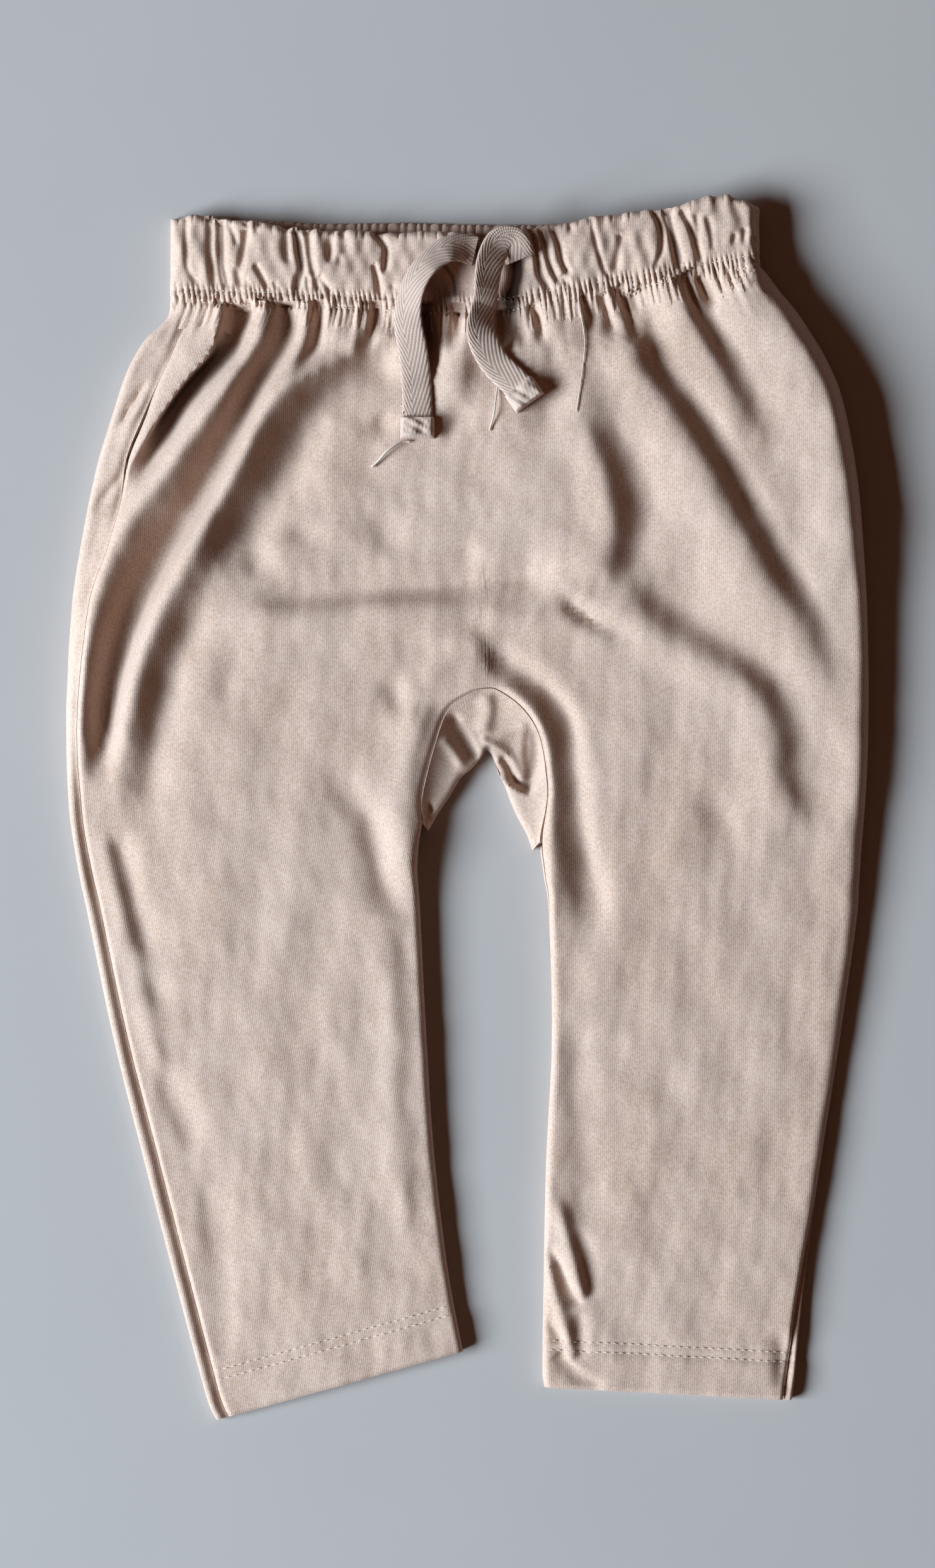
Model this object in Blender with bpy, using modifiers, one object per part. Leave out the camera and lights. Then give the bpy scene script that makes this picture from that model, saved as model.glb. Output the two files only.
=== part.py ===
"""Toddler's pull-on jersey sweatpants, lying flat on their back.

X runs across the garment, Y from the hems to the waist, Z up from the surface that it lies on.
The tables are in millimetres and the finished meshes in metres. A row of the body is one straight
line in plan, from the outer edge to the middle or to the inside of a leg. Cloth that runs round an
edge is placed by its distance round from the outline: positive on top, negative underneath.
"""

import math

import bmesh
import bpy
import numpy as np

MM = 0.001

# Driving dimensions, in millimetres
CLOTH = 1.2
HEM_CLOTH = 1.7
HEM_DEPTH = 12.0
HEM_EASE = 4.0
SEAM_GAP = 0.85
CASING_GAP = 1.0
CASING_SIDE_GAP = 0.6
SEAM_ROLL = 7.0
CASING_WALL = 2.8
TAPE_WIDTH = 10.0
TAPE_THICKNESS = 1.0
TAPE_CLEARANCE = 0.7
LEAST_HEIGHT = 3.6
FLOOR_SOFTNESS = 0.6
LEAST_ROLL = 0.01
MERGE = 0.02
QUARTER = math.pi / 2

# Grid sizes. Rows are this far apart. Columns are close together at the edges of a panel, and as
# many between them as its count says. Both panels are then thinned out where they are flat.
ROW_STEP = 4.4
EDGE_STEPS = (0.0, 0.4, 1.4, 2.8, 4.4, 6.2, 8.2, 10.4, 13.0)
WRAP_STEPS = EDGE_STEPS + (16.0, 19.0, 22.0, 25.0, 29.0)
FRONT_COLUMNS = 34
BACK_COLUMNS = 6
FRONT_KEEP = 0.15
BACK_KEEP = 0.19
GATHERS = 85

# Each half of the body, a row of cloth at a time from the casing to the hem. The outer edge and the
# inner end are places in plan. seam is how far round from the outline the side seam lies, and
# inseam the same at the inner end. roll is the radius of the outer edge, and inner_roll that of
# the leg's inner edge, which is 0 above the legs.
ROW = ("outer_x", "outer_y", "inner_x", "inner_y", "seam", "inseam", "roll", "inner_roll")
LEFT_ROWS = (
    (-98.8, 169.8, 4.0, 164.8, 11.6, 0.0, 5.0, 0.0),
    (-100.3, 163.5, 4.1, 158.5, 10.4, 0.0, 4.5, 0.0),
    (-107.0, 157.0, 4.2, 151.0, 12.8, 0.0, 3.5, 0.0),
    (-111.0, 151.0, 4.3, 145.0, 14.0, 0.0, 2.8, 0.0),
    (-114.5, 143.5, 4.4, 138.0, 13.8, 0.0, 2.6, 0.0),
    (-119.0, 129.5, 4.6, 126.0, 12.4, 0.0, 2.6, 0.0),
    (-123.0, 116.5, 4.8, 114.0, 11.2, 0.0, 2.6, 0.0),
    (-126.3, 102.0, 5.0, 101.0, 12.4, 0.0, 2.6, 0.0),
    (-129.2, 86.5, 5.4, 87.0, 11.2, 0.0, 2.6, 0.0),
    (-131.5, 72.0, 5.8, 73.0, 8.2, 0.0, 2.6, 0.0),
    (-132.8, 56.0, 6.1, 58.0, 7.0, 0.0, 2.6, 0.0),
    (-133.5, 42.0, 6.4, 40.2, 6.1, 0.0, 2.6, 0.0),
    (-133.8, 34.0, 1.5, 38.8, 5.8, 0.0, 2.6, 0.0),
    (-133.8, 24.0, -6.3, 33.3, 5.5, 0.0, 2.6, 0.0),
    (-133.6, 13.0, -11.2, 20.5, 5.6, 0.0, 2.6, 0.0),
    (-133.0, 1.0, -15.2, 4.0, 5.8, 0.0, 2.6, 0.0),
    (-132.2, -6.5, -15.0, -4.5, 5.8, -0.6, 2.6, 0.2),
    (-131.0, -14.0, -16.3, -13.0, 5.9, -3.6, 2.6, 1.2),
    (-129.2, -24.0, -16.6, -22.0, 6.1, -6.2, 2.6, 2.0),
    (-126.8, -35.0, -15.8, -34.0, 6.2, -6.2, 2.6, 2.2),
    (-118.0, -77.0, -13.9, -72.0, 6.2, -6.2, 2.6, 2.2),
    (-107.5, -119.0, -11.3, -113.0, 6.4, -6.2, 2.6, 2.2),
    (-96.6, -161.0, -6.8, -152.0, 6.2, -6.2, 2.6, 2.2),
    (-87.5, -195.0, -2.3, -177.0, 5.8, -6.2, 2.4, 2.0),
    (-83.8, -204.0, -1.5, -180.9, 5.6, -6.2, 2.4, 2.0),
)
RIGHT_ROWS = (
    (97.6, 180.9, 4.0, 164.8, -6.4, 0.0, 5.0, 0.0),
    (100.5, 177.5, 4.1, 158.5, -6.4, 0.0, 5.5, 0.0),
    (104.5, 172.0, 4.2, 151.0, -6.4, 0.0, 6.0, 0.0),
    (109.5, 166.0, 4.3, 145.0, -6.4, 0.0, 6.5, 0.0),
    (114.0, 159.3, 4.4, 138.0, -6.4, 0.0, 6.5, 0.0),
    (119.7, 149.8, 4.6, 126.0, -6.4, 0.0, 6.5, 0.0),
    (124.5, 138.3, 4.8, 114.0, -6.4, 0.0, 6.0, 0.0),
    (128.2, 122.0, 5.0, 101.0, -6.4, 0.0, 6.0, 0.0),
    (130.6, 105.5, 5.4, 87.0, -6.4, 0.0, 5.5, 0.0),
    (132.0, 88.0, 5.8, 73.0, -6.4, 0.0, 5.0, 0.0),
    (133.2, 68.0, 6.1, 58.0, -6.4, 0.0, 4.5, 0.0),
    (133.7, 48.0, 6.4, 40.2, -6.4, 0.0, 4.5, 0.0),
    (133.8, 40.0, 10.8, 39.2, -6.4, 0.0, 4.5, 0.0),
    (133.7, 28.0, 18.8, 33.0, -6.4, 0.0, 4.5, 0.0),
    (133.4, 15.5, 24.2, 23.5, -6.4, 0.0, 4.5, 0.0),
    (132.7, 2.5, 26.6, 8.0, -6.4, 0.0, 4.5, 0.0),
    (132.1, -5.0, 26.1, 0.0, -6.4, 0.2, 4.5, 0.4),
    (131.4, -14.0, 24.2, -10.8, -6.4, 1.2, 4.5, 1.2),
    (130.6, -26.0, 25.4, -22.4, -6.4, 1.4, 4.5, 1.8),
    (129.7, -38.0, 27.1, -35.0, -6.0, 0.6, 4.5, 2.0),
    (124.3, -76.0, 28.1, -76.0, -3.0, -5.2, 4.0, 2.0),
    (117.9, -118.0, 26.2, -118.0, 1.0, -6.2, 4.0, 2.0),
    (112.3, -158.0, 25.4, -156.0, 3.6, -6.2, 4.0, 2.0),
    (109.2, -189.0, 25.0, -186.0, 4.4, -6.2, 2.8, 2.0),
    (108.1, -197.3, 25.6, -192.9, 4.4, -6.2, 2.8, 2.0),
)
APEX_ROW = 11
APEX_KEPT = 14.0
LEG_ROLL = 2.0
GAP_MIDDLE = 10.0

# Height of the upper side above the surface, and of the outermost line of the edges, down the body
HEIGHTS = ((-210.0, 4.8), (-170.0, 5.2), (-100.0, 5.9), (-40.0, 7.0), (0.0, 9.2), (45.0, 11.4),
           (90.0, 12.4), (140.0, 12.4), (165.0, 11.4), (200.0, 11.4))
LEFT_LOW = 0.5
LEFT_RISE = 44.0
EDGE_LINES = ((-210.0, 2.4), (-170.0, 2.6), (-40.0, 2.8), (40.0, 3.0), (200.0, 3.0))

# Folds of the front: the lines of their crests, and of their troughs, whose height is negative. west
# and east are the widths of the two sides of a line that runs down the garment, or south and north of
# one that runs across it to the right. flare is how much wider the fold is at the end of its line,
# and start and end are the lengths over which it rises from nothing and dies away. FOLD_SPREAD is
# added to every width, in square sum, so that no slope is too steep for the thick wall.
FOLD = ("name", "height", "west", "east", "flare", "start", "end", "line")
FOLD_SPREAD = 3.0
FOLD_SAMPLES = 12
CURVE_SAMPLES = 40
FOLDS = (
    ("strip_crest", 3.4, 4.0, 1.8, 0.3, 3, 30,
     ((-80, 168), (-85, 156), (-95, 145), (-103, 134), (-109, 123), (-114, 112), (-116, 100))),
    ("strip_crease", -8.0, 2.2, 5.4, 0.0, 2, 36,
     ((-77, 168), (-80, 155), (-90, 144), (-98, 134), (-103, 124), (-107, 113), (-112, 101))),
    ("hip_crest_outer", 5.6, 4.4, 5.6, 0.0, 2, 24,
     ((-64, 169), (-67, 158), (-78, 141), (-88, 128), (-98, 115), (-106, 104), (-113, 94), (-118.5, 82),
      (-123, 69), (-126, 56), (-127, 40), (-127.5, 20), (-127, 2))),
    ("hip_trough_outer", -8.2, 5.6, 4.2, 0.1, 2, 36,
     ((-61, 169), (-62, 156), (-70, 142), (-78, 124), (-88, 104), (-101, 84), (-111, 64), (-118, 42),
      (-122, 20), (-124, 4))),
    ("hip_crest_middle", 1.4, 3.4, 2.4, 0.5, 2, 10,
     ((-53, 169), (-53, 157), (-58, 147), (-64, 140))),
    ("hip_trough_middle", -3.8, 2.0, 2.6, 0.3, 1, 20,
     ((-50.5, 169), (-50, 160), (-52, 152), (-57, 146), (-65, 141))),
    ("hip_crest_long", 6.2, 5.0, 6.4, 0.2, 26, 44,
     ((-38, 150), (-48, 145), (-58, 140.5), (-66, 133), (-73.5, 121), (-80, 109), (-88, 94), (-97, 75),
      (-107, 56), (-112, 36), (-116, 14), (-119, -6))),
    ("hook_crest", 2.4, 6.0, 3.2, 0.0, 8, 16,
     ((-22, 160), (-33, 153.5), (-42, 148.5), (-52, 143.5), (-62, 138))),
    ("hook_trough", -5.4, 7.0, 7.0, 0.3, 12, 22,
     ((-20, 151), (-32, 145), (-42, 140), (-50, 135.5), (-54.5, 128), (-58, 119), (-64, 108), (-72, 97),
      (-79, 88), (-84, 77))),
    ("thigh_trough_lower", -3.4, 7.0, 7.0, 0.0, 14, 20,
     ((-89, 73), (-93, 58), (-100, 43), (-104, 25), (-106, 8), (-111, -8))),
    ("waist_crest_left", 1.0, 2.6, 2.2, 0.3, 2, 5,
     ((-34.5, 169), (-35, 159), (-40, 149))),
    ("waist_trough_left", -3.4, 2.2, 2.8, 0.4, 1, 14,
     ((-30.5, 169), (-31, 160), (-35, 152), (-41, 146))),
    ("waist_line_left", -1.6, 1.5, 1.8, 0.3, 1, 6,
     ((-72.5, 169), (-73.5, 163), (-76, 158))),
    ("tape_side_dent", -1.6, 5.0, 4.0, 0.0, 4, 4,
     ((-31, 131), (-28, 128), (-24, 124))),
    ("tape_hollow_first", -5.5, 3.4, 3.0, 0.2, 1, 10,
     ((-15.5, 168), (-14, 158), (-12, 141))),
    ("tape_hollow_second", -4.0, 3.0, 2.6, 0.0, 1, 8,
     ((-3, 168), (-4, 158), (-8, 151))),
    ("tape_puff", 2.6, 7.0, 5.0, 0.0, 3, 14,
     ((0, 165), (-2, 152), (-4, 140), (-3, 129))),
    ("tape_end_hollow", -1.6, 5.0, 6.0, 0.0, 5, 8,
     ((-9, 129), (-4, 127), (2, 124))),
    ("hole_trough", -5.0, 3.0, 3.4, 0.2, 1, 10,
     ((12, 169), (11, 158), (15, 151))),
    ("waist_line_first", -2.6, 1.5, 1.8, 0.2, 1, 6,
     ((15, 168), (17, 158), (20, 153))),
    ("waist_line_second", -2.2, 1.4, 1.6, 0.2, 1, 5,
     ((21, 168), (24, 160), (24, 153))),
    ("tape_end_dent", -2.0, 6.0, 6.0, 0.0, 12, 14,
     ((23, 153), (29, 146), (28, 135), (18, 124))),
    ("waist_line_third", -2.2, 1.5, 1.8, 0.2, 1, 7,
     ((38, 171), (41, 164), (42, 157))),
    ("waist_line_fourth", -2.4, 1.6, 2.0, 0.4, 1, 8,
     ((44, 171), (47, 163), (50, 154))),
    ("flank_trough_strand", -3.0, 1.6, 2.0, 0.3, 1, 7,
     ((49.5, 174), (53, 165), (57, 153))),
    ("flank_crest_long", 4.6, 13.0, 10.0, 0.2, 16, 50,
     ((48, 162), (55, 149), (63, 137), (71, 123), (80, 107), (89, 90), (100, 72), (110, 55), (119, 36))),
    ("flank_trough_long", -3.8, 5.0, 4.4, 0.2, 3, 60,
     ((54, 173), (60, 162), (62, 153), (66, 144), (78, 129), (87, 114), (95, 99), (104, 82), (115, 66),
      (121, 50), (126, 32))),
    ("flank_crest_waist", 2.6, 6.0, 4.6, 0.8, 2, 35,
     ((68, 178), (74, 166), (80, 154), (88, 138), (96, 123), (100, 112))),
    ("flank_trough_waist", -4.2, 3.0, 3.6, 0.8, 1, 66,
     ((71, 178), (77, 166), (85, 153), (93, 138), (102, 123), (107, 110))),
    ("flank_line", -2.4, 1.4, 1.8, 0.3, 1, 6,
     ((76, 177), (80, 170), (84, 165))),
    ("flank_crest_outer", 3.0, 12.0, 5.0, 0.0, 4, 40,
     ((90, 178), (103, 163), (112, 150), (118, 137), (122, 122), (126, 100), (128, 80), (129, 58))),
    ("tummy_crest_right", 1.6, 7.0, 5.0, 0.2, 20, 8,
     ((35, 139), (39, 126), (44, 110), (47, 98), (46, 85), (42, 73))),
    ("tummy_trough_right", -2.6, 5.0, 7.0, 0.2, 20, 14,
     ((43, 133), (49, 120), (54, 107), (56, 93), (53, 80), (48, 73))),
    ("belly_crest", 2.0, 9.0, 4.2, 0.0, 20, 20,
     ((-84, 60), (-70, 64), (-50, 66), (-30, 67), (-10, 67), (8, 65))),
    ("belly_trough", -2.2, 5.0, 8.0, 0.0, 20, 14,
     ((-74, 66), (-50, 70), (-30, 72), (-10, 74), (14, 77), (32, 76))),
    ("belly_crest_right", 1.4, 6.0, 4.0, 0.0, 12, 10,
     ((-2, 65), (12, 64), (28, 63), (42, 59), (54, 56))),
    ("belly_crease", -2.2, 3.0, 2.0, 0.0, 10, 14,
     ((28, 72.5), (34, 68.5), (41, 63), (48, 60), (57, 57))),
    ("thigh_crest_right", 2.6, 8.0, 7.0, 0.2, 10, 20,
     ((45, 74), (52, 68), (62, 58), (75, 49), (89, 42), (98, 30), (99, 16), (104, 5), (112, -8))),
    ("thigh_trough_right", -2.2, 5.0, 9.0, 0.0, 12, 30,
     ((54, 73), (66, 68), (81, 59), (96, 48), (106, 36), (110, 24), (109, 11), (115, 0), (117, -13))),
    ("thigh_dent_right", -1.3, 5.0, 5.0, 0.0, 12, 12,
     ((78, 8), (84, -2), (90, -12), (96, -20))),
    ("crotch_crest_right", 2.2, 2.0, 5.0, 0.4, 16, 24,
     ((2, 47), (11, 42), (20, 35), (26, 24), (28.5, 8), (28.5, -5), (28.5, -20), (30, -40))),
    ("crotch_trough_right", -3.8, 6.0, 3.2, 0.6, 12, 24,
     ((2, 54), (14, 48), (26, 39), (33, 28), (35, 10), (37, -8), (41, -24), (42, -34), (37, -48))),
    ("arch_crest", 1.4, 4.0, 4.0, 0.0, 8, 8,
     ((-15, 40), (-9, 49), (1, 53), (10, 50))),
    ("crotch_crest_left", 1.6, 7.0, 4.0, 0.0, 8, 12,
     ((-15, 36), (-20, 12), (-20, -6), (-20, -26))),
    ("crotch_trough_left", -2.6, 5.0, 5.4, 0.0, 20, 16,
     ((-48, 16), (-40, 5), (-33, -3), (-30, -14), (-27, -26), (-20, -39))),
    ("arch_dent", -1.4, 3.6, 3.6, 0.0, 8, 8,
     ((-27, 46), (-24, 38), (-20, 28))),
    ("leg_crest_left", 1.2, 4.0, 3.0, 0.0, 8, 30,
     ((-121, -6), (-118, -22), (-113, -38), (-108, -62), (-99, -100))),
    ("leg_trough_upper", -2.2, 3.4, 5.0, 0.0, 4, 8,
     ((-117, -8), (-114, -22), (-110, -38), (-107, -50))),
    ("leg_trough_middle", -1.2, 4.0, 4.0, 0.0, 6, 6,
     ((-104, -55), (-101, -68))),
    ("leg_trough_lower", -2.0, 3.4, 4.6, 0.0, 8, 6,
     ((-103, -84), (-99, -95), (-94, -106), (-90, -114))),
    ("leg_trough_hem", -1.4, 3.4, 4.6, 0.0, 8, 6,
     ((-88, -122), (-85, -138), (-83, -156), (-81, -184))),
    ("leg_crest_inner", 1.2, 5.0, 4.0, 0.0, 20, 20,
     ((-28, -29), (-25, -66), (-24, -108), (-19, -150))),
    ("tummy_dome", 3.4, 42.0, 10.0, 0.0, 36, 36,
     ((28, 166), (38, 128), (45, 104), (46, 82), (38, 50))),
    ("cuff_crest_upper", 1.9, 3.0, 2.4, 0.0, 8, 3,
     ((30, -128), (31, -134), (33, -142), (35, -149), (37, -157), (39, -164))),
    ("cuff_trough_upper", -1.3, 3.0, 3.0, 0.0, 8, 4,
     ((36, -138), (39, -148), (41, -157), (41, -165))),
    ("cuff_trough_middle", -1.9, 3.0, 1.1, 0.0, 2, 4,
     ((27, -145), (30, -151), (33.5, -158.5), (38.5, -166.5))),
    ("cuff_crest_middle", 1.5, 2.0, 2.6, 0.0, 6, 3,
     ((27, -147), (28, -155), (29, -162), (31, -168), (33.5, -176), (36.5, -184))),
    ("cuff_trough_low", -1.5, 2.5, 3.0, 0.0, 6, 4,
     ((37, -166), (37, -172), (36.8, -178), (37, -185))),
    ("leg_trough_right", -1.8, 5.0, 7.0, 0.0, 20, 20,
     ((35, -62), (37, -92), (39, -125), (35, -142))),
)

# Waist casing: its two ends, its upper edges in front and behind, and the heights of its front
CASING_LEFT = -99.0
CASING_RIGHT = 97.3
CASING_ROLL = 4.5
CASING_TOP_ROLL = 2.9
CASING_SWELL = 1.4
CASING_LINE = 4.1
CASING_LEAST = 3.3
# Rows of the front casing as shares of its height, with how much of the gathers each has, and the
# columns and rows of the back casing
CASING_ROWS = (0.0, 0.13, 0.28, 0.64, 1.0, 2.0)
CASING_SHIRRED = (0.6, 1.0, 0.2, 0.0, 0.0, 0.0)
GATHER_DEPTH = 0.35
CASING_END = 6.0
BACK_CASING_COLUMNS = 45
BACK_CASING_ROWS = (0.0, 0.3, 0.8, 1.0)
BACK_CASING_BEVEL = 0.8
BACK_CASING_WAVE = 0.2
BACK_CASING_TURN = 2.2
FRONT_TOP = ((-99, 196.6), (-92, 197.5), (-72, 195.6), (-63, 193.6), (-38, 191.8), (0, 191.4),
             (23, 193.4), (39, 196.0), (65, 199.6), (87, 204.4), (97.3, 200.0))
BACK_TOP = ((-99, 196.6), (-72, 196.2), (-50, 195.0), (-20, 195.3), (2, 194.7), (23, 194.6),
            (39, 195.6), (65, 198.6), (87, 201.6), (97.3, 200.0))

# Pleats of the front casing: where each starts at the shirring and at the upper edge, its depth
# and the width of its sides. Each is shallower at its low and top ends by these shares.
PLEAT = ("low_x", "top_x", "depth", "width")
PLEAT_LOW = 0.45
PLEAT_TOP = 0.35
PLEAT_FADE = 0.3
PLEATS = (
    (-94, -93, 1.0, 2.0), (-84, -85, 1.8, 2.6), (-78, -77, 1.0, 1.8), (-71, -72, 0.9, 1.8),
    (-65, -65, 0.7, 1.8), (-56, -53, 1.8, 2.4), (-51, -49, 1.2, 2.0), (-45, -45, 0.9, 2.0),
    (-38, -38, 0.8, 2.0), (-28, -29, 1.3, 2.4), (-10, -8, 1.0, 2.2), (-3, -1, 1.8, 2.8),
    (4, 2, 1.2, 2.2), (14, 13, 0.8, 2.2), (23, 22, 1.3, 2.0), (29, 28, 1.4, 2.0),
    (35, 34, 1.0, 1.8), (43, 44, 0.9, 2.0), (50, 50, 0.9, 1.8), (63, 62, 0.9, 1.8),
    (68, 67, 1.8, 2.4), (75, 74, 1.2, 1.8), (80, 80, 1.2, 1.8), (89, 88, 1.0, 2.0),
    (94, 94, 1.0, 1.8),
)

# Gusset: the fold that hangs free between the legs. Its seam is the arch between the two rows that
# its ends reach, one in each half.
GUSSET_LEFT_ROW = 16
GUSSET_RIGHT_ROW = 17
GUSSET_FOLD = ((-13.0, -7.4), (-9.6, -1.4), (-6.0, 4.0), (-2.4, 10.0), (0.8, 12.8), (4.0, 16.2),
               (6.2, 19.2), (8.2, 17.6), (10.2, 12.4), (12.6, 7.0), (14.6, 1.6), (17.0, -3.6),
               (19.8, -8.8), (21.6, -14.0))
GUSSET_COLUMNS = 24
GUSSET_GAP = 1.3
GUSSET_ROLL = 3.0
GUSSET_EDGE = 3.4
GUSSET_SHELF = 2.4
GUSSET_SINK = 0.5
GUSSET_FALL = 2.2
GUSSET_NARROW = 0.45
GUSSET_ROWS = 7

# Tape ends of the drawstring, from where each leaves the casing to its free end, with how far each
# is lifted off the cloth and turned about its own length, at distances along it
TAPE_LEFT = ((3.4, 184.6), (-2.4, 187.2), (-9.0, 186.6), (-15.0, 181.6), (-18.4, 173.0), (-18.8, 162.6),
             (-17.2, 151.0), (-16.2, 139.3), (-16.4, 130.0), (-16.4, 122.6))
TAPE_LEFT_LIFT = ((0, -1.3), (4, 1.2), (10, 2.4), (18, 2.8), (28, 2.0), (40, 0.8), (52, 0.4), (80, 0.2))
TAPE_LEFT_TURN = ((0, 0), (8, 24), (18, 34), (30, 32), (42, 16), (56, 4), (80, -3))
TAPE_RIGHT = ((17.6, 182.0), (15.2, 187.6), (10.4, 187.0), (7.2, 179.6), (6.0, 169.6), (4.2, 158.6),
              (8.6, 148.4), (16.0, 140.6), (20.8, 134.0))
TAPE_RIGHT_LIFT = ((0, -0.8), (5, 1.6), (10, 2.4), (20, 2.4), (32, 1.0), (42, 0.8), (76, 0.4))
TAPE_RIGHT_TURN = ((0, 0), (8, -18), (18, -24), (28, -38), (36, -34), (46, -6), (76, 8))
TAPE_STEP = 2.2
TAPE_COLUMNS = (-0.5, -0.2, 0.2, 0.5)
TAPE_SMOOTH = 2
TAPE_READINGS = 60

COLOURS = {
    "front_panel": (0.60, 0.49, 0.43),
    "back_panel": (0.57, 0.46, 0.40),
    "gusset": (0.59, 0.48, 0.42),
    "waistband_front": (0.61, 0.50, 0.44),
    "waistband_back": (0.55, 0.44, 0.38),
    "drawstring_left": (0.50, 0.38, 0.32),
    "drawstring_right": (0.50, 0.38, 0.32),
}


def along(points, places):
    """A smooth curve through the points, read at places counted in points from the first one."""
    knots = np.asarray(points, float)
    ends = np.vstack([2 * knots[0] - knots[1], knots, 2 * knots[-1] - knots[-2]])
    places = np.asarray(places, float)
    first = np.clip(places.astype(int), 0, len(knots) - 2)
    f = (places - first)[:, None]
    a, b, c, d = ends[first], ends[first + 1], ends[first + 2], ends[first + 3]
    return 0.5 * (2 * b + (c - a) * f + (2 * a - 5 * b + 4 * c - d) * f**2 + (3 * b - a - 3 * c + d) * f**3)


def evenly(points, count, trim=0):
    """The same curve read at places that lie evenly along its length, trim points short of its ends."""
    fine = along(points, np.linspace(trim, len(points) - 1 - trim, CURVE_SAMPLES * len(points)))
    run = np.concatenate([[0], np.cumsum(np.linalg.norm(np.diff(fine, axis=0), axis=1))])
    wanted = np.linspace(0, run[-1], count)
    return np.stack([np.interp(wanted, run, fine[:, 0]), np.interp(wanted, run, fine[:, 1])], axis=1)


def table(pairs, at):
    """A value that a short table gives at some places, with straight runs between its rows."""
    places, values = zip(*pairs)
    return np.interp(at, places, values)


def ease(share):
    """0 to 1 with level ends."""
    share = np.clip(share, 0, 1)
    return share * share * (3 - 2 * share)


def one_fold(x, y, fold):
    """How far one fold lifts each of these places."""
    curve = along(fold["line"], np.linspace(0, len(fold["line"]) - 1, FOLD_SAMPLES * len(fold["line"])))
    step = np.gradient(curve, axis=0)
    dx = x[..., None] - curve[:, 0]
    dy = y[..., None] - curve[:, 1]
    near = np.argmin(dx**2 + dy**2, axis=-1)
    away_x = np.take_along_axis(dx, near[..., None], -1)[..., 0]
    away_y = np.take_along_axis(dy, near[..., None], -1)[..., 0]
    side = step[near, 0] * away_y - step[near, 1] * away_x
    length = np.hypot(step[:, 0], step[:, 1])
    run = np.cumsum(length) - length[0]
    width = np.where(side > 0, fold["east"], fold["west"]) * (1 + fold["flare"] * run[near] / run[-1])
    width = np.hypot(width, FOLD_SPREAD)
    fade = ease(run / fold["start"]) * ease((run[-1] - run) / fold["end"])
    return fold["height"] * fade[near] * np.exp(-(away_x**2 + away_y**2) / width**2)


def plain_height(x, y):
    """Height of the body without its folds, low along the left edge, where it lies nearly flat."""
    outline = table([row[1::-1] for row in reversed(LEFT_ROWS)], y)
    share = LEFT_LOW + (1 - LEFT_LOW) * ease((x - outline) / LEFT_RISE)
    line = table(EDGE_LINES, y)
    return line + (table(HEIGHTS, y) - line) * share


def front_height(x, y):
    """Height of the front's upper side, away from its rolled edges."""
    height = plain_height(x, y)
    for row in FOLDS:
        height = height + one_fold(x, y, dict(zip(FOLD, row)))
    return LEAST_HEIGHT + np.logaddexp(0, (height - LEAST_HEIGHT) / FLOOR_SOFTNESS) * FLOOR_SOFTNESS


def round_edge(run, upper, lower, top, line):
    """Cloth round an edge: its distance in from the outline, and its height. run is its distance
    round from the outline, upper and lower the radii of the roll, top the height that it reaches
    and line the height of the outline itself."""
    over = np.clip(run / upper, 0, QUARTER)
    under = np.clip(-run / lower, 0, QUARTER)
    flat = np.maximum(run - upper * QUARTER, 0) + np.maximum(-run - lower * QUARTER, 0)
    inset = upper * (1 - np.cos(over)) + lower * (1 - np.cos(under)) + flat
    height = np.where(run >= 0, line + (top - line) * np.sin(over), line * (1 - np.sin(under)))
    return inset, height


def row_places():
    """Where the rows of cloth lie in the tables, the same in both halves and both panels."""
    places = []
    for index in range(len(LEFT_ROWS) - 1):
        gaps = [math.dist(rows[index][end:end + 2], rows[index + 1][end:end + 2])
                for rows in (LEFT_ROWS, RIGHT_ROWS) for end in (0, 2)]
        count = max(1, round(max(gaps) / ROW_STEP))
        places.extend(index + step / count for step in range(count))
    return np.array(places + [len(LEFT_ROWS) - 1])


def column_runs(total, first, count, last):
    """Distances along rows of these lengths, with set steps at both ends and even ones between."""
    between = np.linspace(0, 1, count)[1:-1]
    first, last = np.array(first), np.array(last[::-1])
    middle = first[-1] + (total - first[-1] - last[0]) * between
    return np.concatenate([first + 0 * total, middle, total - last], axis=1)


def inner_ends(rows):
    """The inner ends of some rows of the tables, in plan."""
    return [row[2:4] for row in rows]


def inner_line(rows, places):
    """The inner ends of the rows of one half: down the middle, then along the arch and down the leg."""
    other = RIGHT_ROWS if rows is LEFT_ROWS else LEFT_ROWS
    above = along(inner_ends(rows[:APEX_ROW + 1]), np.minimum(places, APEX_ROW))
    arch_and_leg = inner_ends([other[APEX_ROW + 1]]) + inner_ends(rows[APEX_ROW:])
    below = along(arch_and_leg, np.maximum(places - APEX_ROW, 0) + 1)
    return np.where(places[:, None] < APEX_ROW, above, below)


def seam_gap(run):
    """Half the gap at a seam: a little more on a rolled edge, where the wall is narrower inside."""
    return SEAM_GAP / 2 * (1 + np.exp(-(run / SEAM_ROLL) ** 2))


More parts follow.
